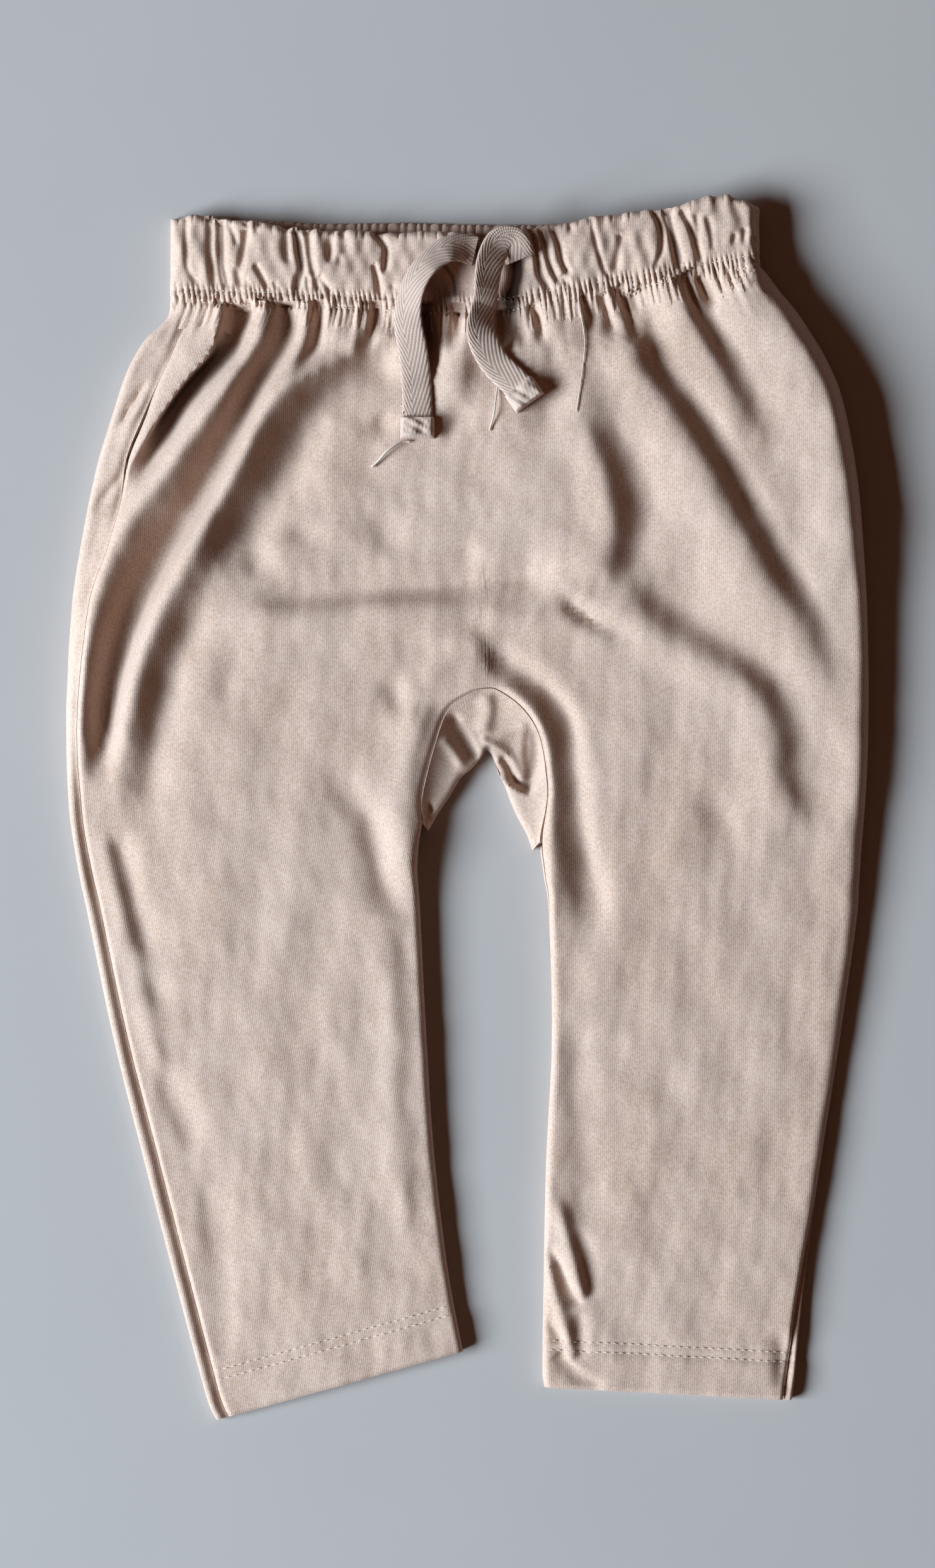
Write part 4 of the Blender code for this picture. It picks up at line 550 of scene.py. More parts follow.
# Window light and the fill around it, in metres, watts and radians
WINDOW_SIZE = (2.4, 1.8)
WINDOW_POWER = 462.0
WINDOW_COLOUR = (0.68, 0.85, 1.0)
WINDOW_BEARING = math.radians(194)
WINDOW_RISE = math.radians(29)
WINDOW_DISTANCE = 4.2
FILL_COLOUR = (1.0, 0.44, 0.25, 1)
FILL_STRENGTH = 0.062
# Height of the camera's sensor, half the width of the surface, and how far it lies below the
# garment, in millimetres
SENSOR = 36.0
FLOOR_HALF = 9000.0
FLOOR_DROP = 0.1


def along(points, places):
    """A smooth curve through the points, read at places counted in points from the first one."""
    knots = np.asarray(points, float)
    ends = np.vstack([2 * knots[0] - knots[1], knots, 2 * knots[-1] - knots[-2]])
    places = np.asarray(places, float)
    first = np.clip(places.astype(int), 0, len(knots) - 2)
    f = (places - first)[:, None]
    a, b, c, d = ends[first], ends[first + 1], ends[first + 2], ends[first + 3]
    square, cube = 2 * a - 5 * b + 4 * c - d, 3 * b - a - 3 * c + d
    return 0.5 * (2 * b + (c - a) * f + square * f**2 + cube * f**3)


def evenly(points, count, trim=0):
    """The same curve read at places that lie evenly along its length, trim points short of its ends."""
    fine = along(points, np.linspace(trim, len(points) - 1 - trim, 40 * len(points)))
    run = np.concatenate([[0], np.cumsum(np.linalg.norm(np.diff(fine, axis=0), axis=1))])
    wanted = np.linspace(0, run[-1], count)
    return np.stack([np.interp(wanted, run, fine[:, 0]), np.interp(wanted, run, fine[:, 1])], axis=1)


def table(pairs, at):
    """A value that a short table gives at some places, with straight runs between its rows."""
    places, values = zip(*pairs)
    return np.interp(at, places, values)


def ease(share):
    """0 to 1 with level ends."""
    share = np.clip(share, 0, 1)
    return share * share * (3 - 2 * share)


def bell(away, width):
    """1 in the middle, fading out smoothly on both sides over this width."""
    return np.exp(-(away / width) ** 2)


def one_fold(x, y, fold):
    """How far one fold lifts each of these places."""
    line = fold["line"]
    curve = along(line, np.linspace(0, len(line) - 1, FOLD_READINGS * len(line)))
    step = np.gradient(curve, axis=0)
    dx = x[:, None] - curve[:, 0]
    dy = y[:, None] - curve[:, 1]
    near = np.argmin(dx**2 + dy**2, axis=-1)
    rows = np.arange(len(x))
    away_x, away_y = dx[rows, near], dy[rows, near]
    side = step[near, 0] * away_y - step[near, 1] * away_x
    length = np.hypot(step[:, 0], step[:, 1])
    run = np.cumsum(length) - length[0]
    width = np.where(side > 0, fold["east"], fold["west"]) * (1 + fold["flare"] * run[near] / run[-1])
    fade = ease(run / fold["start"]) * ease((run[-1] - run) / fold["end"])
    return fold["height"] * fade[near] * np.exp(-(away_x**2 + away_y**2) / width**2)


def fold_relief(x, y, folds):
    """How far some folds lift the cloth at each place in plan."""
    lift = np.zeros(x.size)
    flat_x, flat_y = x.ravel(), y.ravel()
    for fold in folds:
        reach = 3 * max(fold["west"], fold["east"]) * (1 + fold["flare"])
        xs, ys = zip(*fold["line"])
        inside = np.flatnonzero((flat_x > min(xs) - reach) & (flat_x < max(xs) + reach)
                                & (flat_y > min(ys) - reach) & (flat_y < max(ys) + reach))
        if len(inside):
            lift[inside] += one_fold(flat_x[inside], flat_y[inside], fold)
    return lift.reshape(x.shape)


def crease_shade(x, y):
    """How much painted shade a place gets, from 0 to 1: in the deepest creases, pleats and folds, at the
    tapes' openings and where the tapes cast shadow.
    """
    rows = SHADE_LINES + GUSSET_SHADE_LINES
    for pleat in PLEATS:
        if pleat["height"] < CREASE_DEPTH:
            share = (CREASE_DEPTH - pleat["height"]) * CREASE_SHADE_GAIN
            rows.append({**pleat, "height": share, "west": CREASE_WEST, "east": CREASE_EAST})
    for fold in FOLDS:
        if fold["height"] < FOLD_DEPTH:
            rows.append({**fold, "height": (FOLD_DEPTH - fold["height"]) * FOLD_SHADE_GAIN})
    return np.clip(fold_relief(x, y, rows), 0, 1)


def wander(x, y, size, seed):
    """Smooth uneven values of about 1 either way, whose hills are this far apart."""
    turn = np.random.default_rng(seed)
    total = np.zeros_like(x)
    for _ in range(9):
        angle, phase = turn.uniform(0, TURN, 2)
        pitch = size * turn.uniform(0.6, 1.7)
        total += np.sin((x * math.cos(angle) + y * math.sin(angle)) * TURN / pitch + phase)
    return total / 3


def plain_height(x, y):
    """Height of the body without its folds, low along the left edge, where it lies nearly flat."""
    outline = table([row[1::-1] for row in reversed(LEFT_ROWS)], y)
    share = LEFT_LOW + (1 - LEFT_LOW) * ease((x - outline) / LEFT_RISE)
    line = table(EDGE_LINES, y)
    return line + (table(HEIGHTS, y) - line) * share


def front_height(x, y):
    """Height of the front's upper side, away from its rolled edges."""
    height = plain_height(x, y) + fold_relief(x, y, FOLDS + SMALL_FOLDS)
    return soft_floor(height + cloth_wander(x, y) + gather_fan(x, y))


def cloth_wander(x, y):
    """Slight unevenness of cloth that lies loose."""
    return sum(height * wander(x, y * slower, size, seed) for height, slower, size, seed in LOOSE_CLOTH)


def soft_floor(height):
    """Heights with the lowest ones rounded off above the cloth of the back."""
    return LEAST_HEIGHT + np.logaddexp(0, (height - LEAST_HEIGHT) / FLOOR_SOFTNESS) * FLOOR_SOFTNESS


def round_edge(run, upper, lower, top, line):
    """Cloth round an edge: its distance in from the outline, and its height. run is its distance
    round from the outline, upper and lower the radii of the roll, top the height that it reaches
    and line the height of the outline itself."""
    over = np.clip(run / upper, 0, QUARTER)
    under = np.clip(-run / lower, 0, QUARTER)
    flat = np.maximum(run - upper * QUARTER, 0) + np.maximum(-run - lower * QUARTER, 0)
    inset = upper * (1 - np.cos(over)) + lower * (1 - np.cos(under)) + flat
    height = np.where(run >= 0, line + (top - line) * np.sin(over), line * (1 - np.sin(under)))
    return inset, height


def row_places():
    """Where the rows of cloth lie in the tables, closer together at the waist."""
    places = []
    for index in range(len(LEFT_ROWS) - 1):
        gaps = [math.dist(rows[index][end:end + 2], rows[index + 1][end:end + 2])
                for rows in (LEFT_ROWS, RIGHT_ROWS) for end in (0, 2)]
        step = WAIST_STEP if index < WAIST_ROWS else LEG_STEP
        to_hem = len(LEFT_ROWS) - 1 - index
        if to_hem <= CUFF_ROWS:
            step = HEM_STEP if to_hem <= HEM_ROWS else CUFF_STEP
        count = max(1, round(max(gaps) / step))
        places.extend(index + part / count for part in range(count))
    return np.array(places + [len(LEFT_ROWS) - 1])


def column_runs(total, first, count, last):
    """Distances along rows of these lengths, with set steps at both ends and even ones between."""
    between = np.linspace(0, 1, count)[1:-1]
    first, last = np.array(first), np.array(last[::-1])
    middle = first[-1] + (total - first[-1] - last[0]) * between
    return np.concatenate([first + 0 * total, middle, total - last], axis=1)


def inner_ends(rows):
    """The inner ends of some rows of the tables, in plan."""
    return [row[2:4] for row in rows]


def inner_line(rows, places):
    """The inner ends of the rows of one half: down the middle, then along the arch and down the leg."""
    other = RIGHT_ROWS if rows is LEFT_ROWS else LEFT_ROWS
    above = along(inner_ends(rows[:APEX_ROW + 1]), np.minimum(places, APEX_ROW))
    arch_and_leg = inner_ends([other[APEX_ROW + 1]]) + inner_ends(rows[APEX_ROW:])
    below = along(arch_and_leg, np.maximum(places - APEX_ROW, 0) + 1)
    return np.where(places[:, None] < APEX_ROW, above, below)


def seam_gap(run):
    """Half the gap at a seam: a little more on a rolled edge, where the wall is narrower inside."""
    return SEAM_GAP / 2 * (1 + bell(run, SEAM_ROLL))


def gather_wave(x, pitch):
    """Small uneven gathers, round on top and sharp between, from -1 to 1."""
    place = x / pitch + 0.22 * np.sin(x * 0.37) + 0.13 * np.sin(x * 0.91 + 1.3)
    size = 0.85 + 0.15 * np.sin(x * 0.53 + 0.4)
    return size * (2 * np.sqrt(np.abs(np.sin(math.pi * place))) - 1.2)


def half_grid(rows, front):
    """Points of one half of the front or the back: rows down the body, columns inwards. Also the
    grain of the cloth there, as distances across and along its ribs, and on the front the share of painted
    crease shade."""
    places = row_places()
    row = dict(zip(ROW, along(rows, places).T[..., None]))
    outer = np.concatenate([row["outer_x"], row["outer_y"]], axis=1)
    inner = inner_line(rows, places)
    length = np.linalg.norm(inner - outer, axis=1)[:, None]
    toward = (inner - outer) / length
    legs = np.clip(row["inner_roll"] / LEG_ROLL, 0, 1)
    line = table(EDGE_LINES, row["outer_y"])
    inner_upper = np.maximum(row["inner_roll"], LEAST_ROLL)
    inner_lower = np.maximum(line * legs, LEAST_ROLL)
    gap = seam_gap(row["seam"])
    inner_gap = seam_gap(row["inseam"]) * (places[:, None] > APEX_ROW)
    if front:
        span = length + (QUARTER - 1) * (row["roll"] + inner_upper)
        start = row["seam"] + gap
        end = row["inseam"] + inner_gap
        run = start + column_runs(span - start - end, EDGE_STEPS, FRONT_COLUMNS, EDGE_STEPS)
        back = span - run
        from_seam, from_inseam = run - start, back - end
    else:
        span = length + (QUARTER - 1) * (line + inner_lower)
        start = row["seam"] - gap
        end = row["inseam"] - inner_gap
        wrap = EDGE_STEPS + tuple(np.linspace(*BACK_WRAP, BACK_EDGE - len(EDGE_STEPS)))
        run = start - column_runs(span + start + end, wrap, BACK_COLUMNS, EDGE_STEPS)
        back = -(span + run)
        from_seam, from_inseam = start - run, end - back
    near_outer = np.abs(run) < np.abs(back)
    inset, _ = round_edge(run, row["roll"], line, 1.0, line)
    far_inset, _ = round_edge(back, inner_upper, inner_lower, 1.0, line)
    distance = np.where(near_outer, inset, length - far_inset)
    x = outer[:, :1] + toward[:, :1] * distance
    y = outer[:, 1:] + toward[:, 1:] * distance
    top = front_height(x, y)
    _, height = round_edge(run, row["roll"], line, top, line)
    _, far_height = round_edge(back, inner_upper, inner_lower, top, line)
    if front:
        far_height = top + (far_height - top) * legs
    else:
        far_height = far_height * legs
    z = np.where(near_outer, height, far_height)
    raised = ease(z / RELIEF_RISE)
    depth, reach = SEAM_SIDES[front]
    z = z - raised * depth * bell(from_seam, reach)
    below_arch = ease((places[:, None] - APEX_ROW) / ARCH_FADE)
    z = z - raised * below_arch * SEAM_DIP * bell(from_inseam, INSEAM_REACH)
    points = np.stack([x, y, z], axis=-1)
    points[..., 2] += raised * hem_relief(points)
    if front:
        points[..., 2] -= raised * casing_dip(points)
        points[..., :2] += lap_shift(x, y)
    across = np.abs(run) - np.where(run > 0, row["roll"], line) * (QUARTER - 1)
    # Painted shade: on the front, the share of the dark crease colour at each point.
    inside = crease_shade(x, y) * raised if front else 0 * y
    grain_and_shade = np.stack([outer[:, :1] + toward[:, :1] * across, y, inside], axis=-1)
    grain_and_shade[..., 0] += leg_lean(points)
    return points, grain_and_shade


def casing_dip(points):
    """How far the front lies lower where the gathered cloth of the casing runs out over it."""
    below = points[:1, :, 1] - points[..., 1]
    return PANEL_DIP * (1 - ease(below / GATHER_RUN))


def lap_shift(x, y):
    """How far the cloth is pushed over the crease beside the left side seam."""
    curve = along(LAP_LINE, np.linspace(0, len(LAP_LINE) - 1, LAP_READINGS))
    step = np.gradient(curve, axis=0)
    step /= np.linalg.norm(step, axis=1, keepdims=True)
    away = np.hypot(x[..., None] - curve[:, 0], y[..., None] - curve[:, 1])
    near = np.argmin(away, axis=-1)
    share = near / (len(curve) - 1)
    start, end = LAP_FADES
    amount = LAP * ease((share - LAP_START) / start) * ease((1 - share) / end)
    amount = amount * bell(away.min(axis=-1), LAP_WIDTH)
    return np.stack([-step[near, 1], step[near, 0]], axis=-1) * amount[..., None]


def from_hem(points):
    """How far each point of a grid lies from the hem, along its column."""
    steps = np.linalg.norm(np.diff(points, axis=0), axis=2)
    return np.vstack([np.cumsum(steps[::-1], axis=0)[::-1], np.zeros((1, points.shape[1]))])


def hem_relief(points):
    """Relief of a turned-up hem: two sewn lines, puckers between them and a rounded lower edge."""
    away = from_hem(points)
    x = points[..., 0]
    lift = np.zeros_like(away)
    for line in HEM_STITCHES:
        lift -= HEM_SEWN_DEPTH * bell(away - line, HEM_SEWN_WIDTH)
    between = bell(away - np.mean(HEM_STITCHES), HEM_PUCKER_REACH)
    lift += HEM_PUCKER * gather_wave(x, HEM_PUCKER_PITCH) * between
    lift += HEM_RAISE * ease((HEM_STITCHES[0] - away) / HEM_EASE)
    lift -= HEM_LIP * np.clip(1 - away / HEM_LIP_REACH, 0, 1) ** 2
    return lift


def leg_lean(points):
    """How far the ribs have leaned over on the left leg, which lies askew."""
    x, y = points[..., 0], points[..., 1]
    down = np.maximum(LEAN_TOP - y, 0)
    return LEAN * down * ease((LEAN_SIDE - x) / LEAN_SIDE_FADE) * ease(down / LEAN_FADE)


def quads(indices, flip):
    """Faces of a grid of vertex indices."""
    a, b = indices[:-1, :-1].ravel(), indices[:-1, 1:].ravel()
    c, d = indices[1:, 1:].ravel(), indices[1:, :-1].ravel()
    faces = np.stack([a, d, c, b] if flip else [a, b, c, d], axis=1)
    return [face for face in faces.tolist() if len(set(face)) == 4]


def new_piece(name, points, faces, material, grain_and_shade=None):
    """A mesh object with smooth faces, from points in millimetres, with the grain of its cloth and its
    share of painted shade.
    """
    mesh = bpy.data.meshes.new(name)
    mesh.from_pydata((np.asarray(points) * MM).tolist(), [], faces)
    mesh.validate()
    if grain_and_shade is not None:
        layer = mesh.attributes.new("grain_and_shade", "FLOAT_VECTOR", "POINT")
        layer.data.foreach_set("vector", np.asarray(grain_and_shade, np.float32).ravel())
    mesh.shade_smooth()
    obj = bpy.data.objects.new(name, mesh)
    bpy.context.scene.collection.objects.link(obj)
    obj.data.materials.append(material)
    return obj


def freeze(obj):
    """Turns a piece with modifiers into its plain mesh."""
    graph = bpy.context.evaluated_depsgraph_get()
    mesh = bpy.data.meshes.new_from_object(obj.evaluated_get(graph))
    obj.modifiers.clear()
    obj.data = mesh
    mesh.set_sharp_from_angle(angle=SHARP_ANGLE)
    return obj


def thicken(obj, weights=None):
    """Gives an open sheet its thickness, inwards from its outer side, where weights say how much
    of the thickness of a hem."""
    wall = obj.modifiers.new("wall", "SOLIDIFY")
    wall.thickness = CLOTH * MM
    wall.offset = -1
    if weights is not None:
        group = obj.vertex_groups.new(name="hem")
        for index, weight in enumerate(weights):
            group.add([index], float(weight), "REPLACE")
        wall.thickness = HEM_CLOTH * MM
        wall.vertex_group = group.name
        wall.thickness_vertex_group = CLOTH / HEM_CLOTH
    return freeze(obj)


def make_panel(name, front, material):
    """The front or the back with both its legs, one piece of cloth."""
    left, left_grain_and_shade = half_grid(LEFT_ROWS, front)
    right, right_grain_and_shade = half_grid(RIGHT_ROWS, front)
    rows, columns = left.shape[:2]
    left_index = np.arange(rows * columns).reshape(rows, columns)
    right_index = left_index + rows * columns
    joined = row_places() <= APEX_ROW
    right_index[joined, -1] = left_index[joined, -1]
    points = np.concatenate([left.reshape(-1, 3), right.reshape(-1, 3)])
    grain_and_shade = np.concatenate([left_grain_and_shade.reshape(-1, 3), right_grain_and_shade.reshape(-1, 3)])
    hem = np.concatenate([from_hem(left).ravel(), from_hem(right).ravel()])
    weights = ease((HEM_STITCHES[0] - 1 - hem) / HEM_EASE)
    faces = quads(left_index, front) + quads(right_index, not front)
    used = np.zeros(len(points), bool)
    used[np.unique(np.array(faces))] = True
    fresh = np.cumsum(used) - 1
    faces = fresh[np.array(faces)].tolist()
    obj = new_piece(name, points[used], faces, material, grain_and_shade[used])
    return thicken(obj, weights[used])


def smooth_edge(values, reach):
    """Running mean of a row of values."""
    kernel = np.ones(2 * reach + 1) / (2 * reach + 1)
    return np.convolve(np.pad(values, reach, mode="edge"), kernel, mode="valid")


def make_gusset(material):
    """The crotch piece, sewn under the arch and folded between the legs."""
    arch = inner_ends(LEFT_ROWS[GUSSET_LEFT_ROW + 1:APEX_ROW - 1:-1])
    arch += inner_ends(RIGHT_ROWS[APEX_ROW + 1:GUSSET_RIGHT_ROW + 2])
    seam = evenly(arch, GUSSET_COLUMNS, trim=1)
    fold = evenly(GUSSET_FOLD, GUSSET_COLUMNS)
    width = np.linalg.norm(fold - seam, axis=1)[:, None]
    toward = (fold - seam) / width
    top = front_height(seam[:, :1], seam[:, 1:]) - GUSSET_SINK
    roll = np.minimum(GUSSET_ROLL, width * GUSSET_NARROW)
    line = np.minimum(GUSSET_EDGE, width * GUSSET_NARROW)
    half = GUSSET_ROWS // 2
    share = np.linspace(0, 1, half)[None, :]
    gap = GUSSET_GAP - GUSSET_TUCK
    upper_run = (width + (QUARTER - 1) * roll - gap) * (1 - share)
    lower_run = -(width + (QUARTER - 1) * line - GUSSET_GAP) * share[:, 1:]
    run = np.concatenate([upper_run, lower_run], axis=1)
    inset, _ = round_edge(run, roll, line, 1.0, line)
    fall = (inset / width) ** GUSSET_FALL
    shelf = GUSSET_EDGE + GUSSET_SHELF
    reach = shelf + (top - shelf) * fall
    _, height = round_edge(run, roll, line, reach, line)
    x = fold[:, :1] - toward[:, :1] * inset
    y = fold[:, 1:] - toward[:, 1:] * inset
    upper = ease(run / GUSSET_FADES[0]) * ease((width - inset) / GUSSET_FADES[1])
    height = height + upper * fold_relief(x, y, GUSSET_FOLDS)
    points = np.stack([x, y, height], axis=-1)
    along_seam = np.linspace(0, 1, GUSSET_COLUMNS)[:, None] * GUSSET_SEAM + 0 * run
    # Its third value is the share of painted shade in the gusset's hollows and lobes.
    grain_and_shade = np.stack([along_seam, inset, crease_shade(x, y)], axis=-1)
    index = np.arange(x.size).reshape(x.shape)
    faces = quads(index, False)
    return thicken(new_piece("crotch_gusset", points.reshape(-1, 3), faces, material, grain_and_shade.reshape(-1, 3)))


def casing_seam_y(x):
    """The line where the casing is joined to the front and the back."""
    left, right = LEFT_ROWS[0], RIGHT_ROWS[0]
    return np.interp(x, (left[0], left[2], right[0]), (left[1], left[3], right[1]))


def casing_plain(run, share):
    """Points of the front casing without its pleats, and the height of its inside. run is the
    distance round the body from its left end, and share goes from -1, where the gathers end on the
    body, to 0 at the seam, 1 at the upper edge and 2 over the edge."""
    width = CASING_RIGHT - CASING_LEFT
    span = width + 2 * (QUARTER - 1) * CASING_ROLL
    back = span - run
    inset, rise = round_edge(run, CASING_ROLL, CASING_LINE, 1.0, 0.0)
    far_inset, far_rise = round_edge(back, CASING_ROLL, CASING_LINE, 1.0, 0.0)
    near = run < back
    x = np.where(near, CASING_LEFT + inset, CASING_RIGHT - far_inset)
    rise = np.where(near, rise, far_rise)
    low = casing_seam_y(x)
    high = table(FRONT_TOP, x)
    flat = np.clip(share, 0, 1)
    apron = np.clip(-share, 0, 1)
    turn = np.clip(share - 1, 0, 1) * QUARTER
    y = low + (high - CASING_TOP_ROLL - low) * flat
    y = y + CASING_TOP_ROLL * np.sin(turn) - GATHER_RUN * apron
    crown = plain_height(x, y) + CASING_SWELL * np.sin(math.pi * flat) ** 2
    z = CASING_LINE + (crown - CASING_LINE) * rise - CASING_TOP_ROLL * (1 - np.cos(turn)) * rise
    wall = CASING_WALL + (GATHER_EDGE - CASING_WALL) * ease(apron * GATHER_THINNING)
    return np.stack([x, y, z], axis=-1), z - wall


def grid_normals(points):
    """Upward unit normals of a grid of points."""
    across = np.gradient(points, axis=1)
    down = np.gradient(points, axis=0)
    normal = np.cross(across, down)
    normal /= np.linalg.norm(normal, axis=-1, keepdims=True)
    return normal * np.sign(normal[..., 2:].mean())


def make_wall(name, inner, outer, material, grain_and_shade):
    """A closed wall with its own inner and outer grid of points."""
    rows, columns = inner.shape[:2]
    lower = np.arange(rows * columns).reshape(rows, columns)
    upper = lower + rows * columns
    normal = np.cross(outer[0, 1] - outer[0, 0], outer[1, 0] - outer[0, 0])
    up = normal[2] > 0
    faces = quads(upper, not up) + quads(lower, up)
    order = [*lower[0], *lower[1:, -1], *lower[-1, -2::-1], *lower[-2:0:-1, 0]]
    order = [int(index) for index in order]
    for here, there in zip(order, order[1:] + order[:1]):
        side = [here, there, there + rows * columns, here + rows * columns]
        faces.append(side if up else side[::-1])
    points = np.concatenate([inner.reshape(-1, 3), outer.reshape(-1, 3)])
    both = np.concatenate([grain_and_shade.reshape(-1, 3)] * 2)
    obj = new_piece(name, points, faces, material, both)
    obj.data.set_sharp_from_angle(angle=SHARP_ANGLE)
    return obj


def shirr_share(above):
    """1 between the two sewn lines of the shirring, fading out above and below them."""
    low, high = SHIRR_LINES
    swell = 1 - SHIRR_SWELL + SHIRR_SWELL * np.sin(math.pi * np.clip((above - low) / (high - low), 0, 1))
    return swell * np.exp(-(np.minimum(above - low, 0) / GATHER_REACH) ** 2
                          - (np.maximum(above - high, 0) / GATHER_REACH) ** 2)


def gather_fan(x, y):
    """Short uneven folds that spread from the shirring into the body and a little into the casing."""
    below = casing_seam_y(x) - y
    away = (np.maximum(below, 0) / FAN_REACH) ** 2 + (np.minimum(below, 0) / GATHER_REACH) ** 2
    size = FAN_HEIGHT * np.exp(-away)
    spread = x * (1 - FAN_SPREAD * below)
    return size * (0.6 * gather_wave(spread, FAN_PITCH) + 0.4 * wander(spread * 2.2, y * 0.3, 6.0, 31))


def casing_relief(x, y):
    """Pleats and shirring of the front casing, and the folds of the body that run up into it."""
    above = y - casing_seam_y(x)
    shirred = shirr_share(above)
    lift = fold_relief(x, y, PLEATS) * (1 - SHIRR_FLATTENS * shirred)
    lift += front_height(x, y) - plain_height(x, y)
    lift += SHIRR_DEPTH * gather_wave(x + SHIRR_SLANT * above, GATHER) * shirred
    for line in SHIRR_LINES:
        lift -= SHIRR_SEWN_DEPTH * bell(above - line, SHIRR_SEWN_WIDTH)
    lift += 0.22 * wander(x * 1.8, y * 0.5, 6.5, 11) * ease(above / 4)
    return lift


def make_casing_front(material):
    """The front of the elastic casing: pleats and shirring over a plain inside."""
    span = CASING_RIGHT - CASING_LEFT + 2 * (QUARTER - 1) * CASING_ROLL
    run = np.linspace(0, span, CASING_COLUMNS)[None, :]
    apron, front, edge = CASING_ROWS
    share = np.concatenate([np.linspace(-1, 0, apron)[:-1], np.linspace(0, 1, front),
                            np.linspace(1, 2, edge)[1:]])
    run, share = np.broadcast_arrays(run, share[:, None])
    plain, under = casing_plain(run, share)
    normal = grid_normals(plain)
    raised = casing_relief(plain[..., 0], plain[..., 1])
    nicks = gather_wave(plain[..., 0], CASING_NICK_PITCH)
    raised += CASING_NICK * nicks * ease((share - 0.9) / 0.3) * ease((2 - share) / 0.3)
    raised += GATHER_RISE * ease(1 - share / 0.3) - GATHER_SINK * ease(-share)
    ends = (1 - CASING_END_SHARE) * ease(run / CASING_END) * ease((span - run) / CASING_END)
    ends = CASING_END_SHARE + ends
    outer = plain + normal * (raised * ends)[..., None]
    wall = plain[..., 2] - under
    inner = plain - normal * wall[..., None]
    inner[..., 2] = np.where(share < 0, outer[..., 2] - wall, np.maximum(inner[..., 2], under))
    outer[..., 2] = np.maximum(outer[..., 2], inner[..., 2] + CASING_LEAST)
    # Its third value is the share of painted shade in the deepest pleats and at the tapes.
    grain_and_shade = np.stack([run, plain[..., 1], crease_shade(plain[..., 0], plain[..., 1])], axis=-1)
    return make_wall("casing_front", inner, outer, material, grain_and_shade)


def make_casing_back(material):
    """The back of the casing, flat on the surface, with a finely rippled upper edge."""
    left, right = CASING_LEFT + BACK_CASING_INSET, CASING_RIGHT - BACK_CASING_INSET
    x = np.linspace(left, right, BACK_CASING_COLUMNS)[None, :]
    plain, edge = BACK_CASING_ROWS
    share = np.concatenate([np.linspace(0, 0.6, plain)[:-1], np.linspace(0.6, 1, edge)])[:, None]
    x, share = np.broadcast_arrays(x, share)
    low = casing_seam_y(x) + SEAM_GAP
    wave = gather_wave(x, BACK_CASING_PITCH)
    high = table(BACK_TOP, x) + BACK_CASING_WAVE * wave
    y = low + (high - low) * share
    flat = np.stack([x, y, np.zeros_like(x)], axis=-1)
    edge = np.clip((share - BACK_CASING_BEVEL_START) / (1 - BACK_CASING_BEVEL_START), 0, 1)
    ripple = BACK_CASING_RIPPLE * wave * ease((share - 0.5) / 0.3)
    bevel = BACK_CASING_BEVEL * (1 - np.sqrt(1 - edge**2 * BACK_CASING_BEVEL_TURN))
    z = BACK_CASING_HEIGHT + ripple - bevel
    top = np.stack([x, y, z], axis=-1)
    grain_and_shade = np.stack([x, y, 0 * x], axis=-1)
    return make_wall("casing_back", flat, top, material, grain_and_shade)


def upper_side(x, y):
    """Height of whatever shows from above at a place in plan, casing or front."""
    seam = casing_seam_y(x)
    high = table(FRONT_TOP, x)
    share = np.clip((y - seam) / (high - CASING_TOP_ROLL - seam), 0, 1)
    casing = plain_height(x, y) + CASING_SWELL * np.sin(math.pi * share) ** 2 + casing_relief(x, y)
    return np.where(y > seam, casing, front_height(x, y))


def tape_weave(across, run):
    """Herringbone ribs, 0 to 1, slanting one way on the left third of the tape and the other way on
    the rest."""
    slant = np.where(across > WEAVE_SPINE, WEAVE_SLANT, -WEAVE_SLANT)
    pitch = np.where(across > WEAVE_SPINE, WEAVE_PITCH, WEAVE_NARROWER * WEAVE_PITCH)
    return np.sqrt(np.abs(np.sin(math.pi * (across - WEAVE_SPINE + slant * run) / pitch)))


def tape_route(route):
    """Places evenly along the middle of a tape, in plan, and their distances along it."""
    length = np.linalg.norm(np.diff(evenly(route, TAPE_READINGS), axis=0), axis=1).sum()
    centre = evenly(route, round(length / TAPE_STEP) + 1)
    return centre, np.linspace(0, length, len(centre))


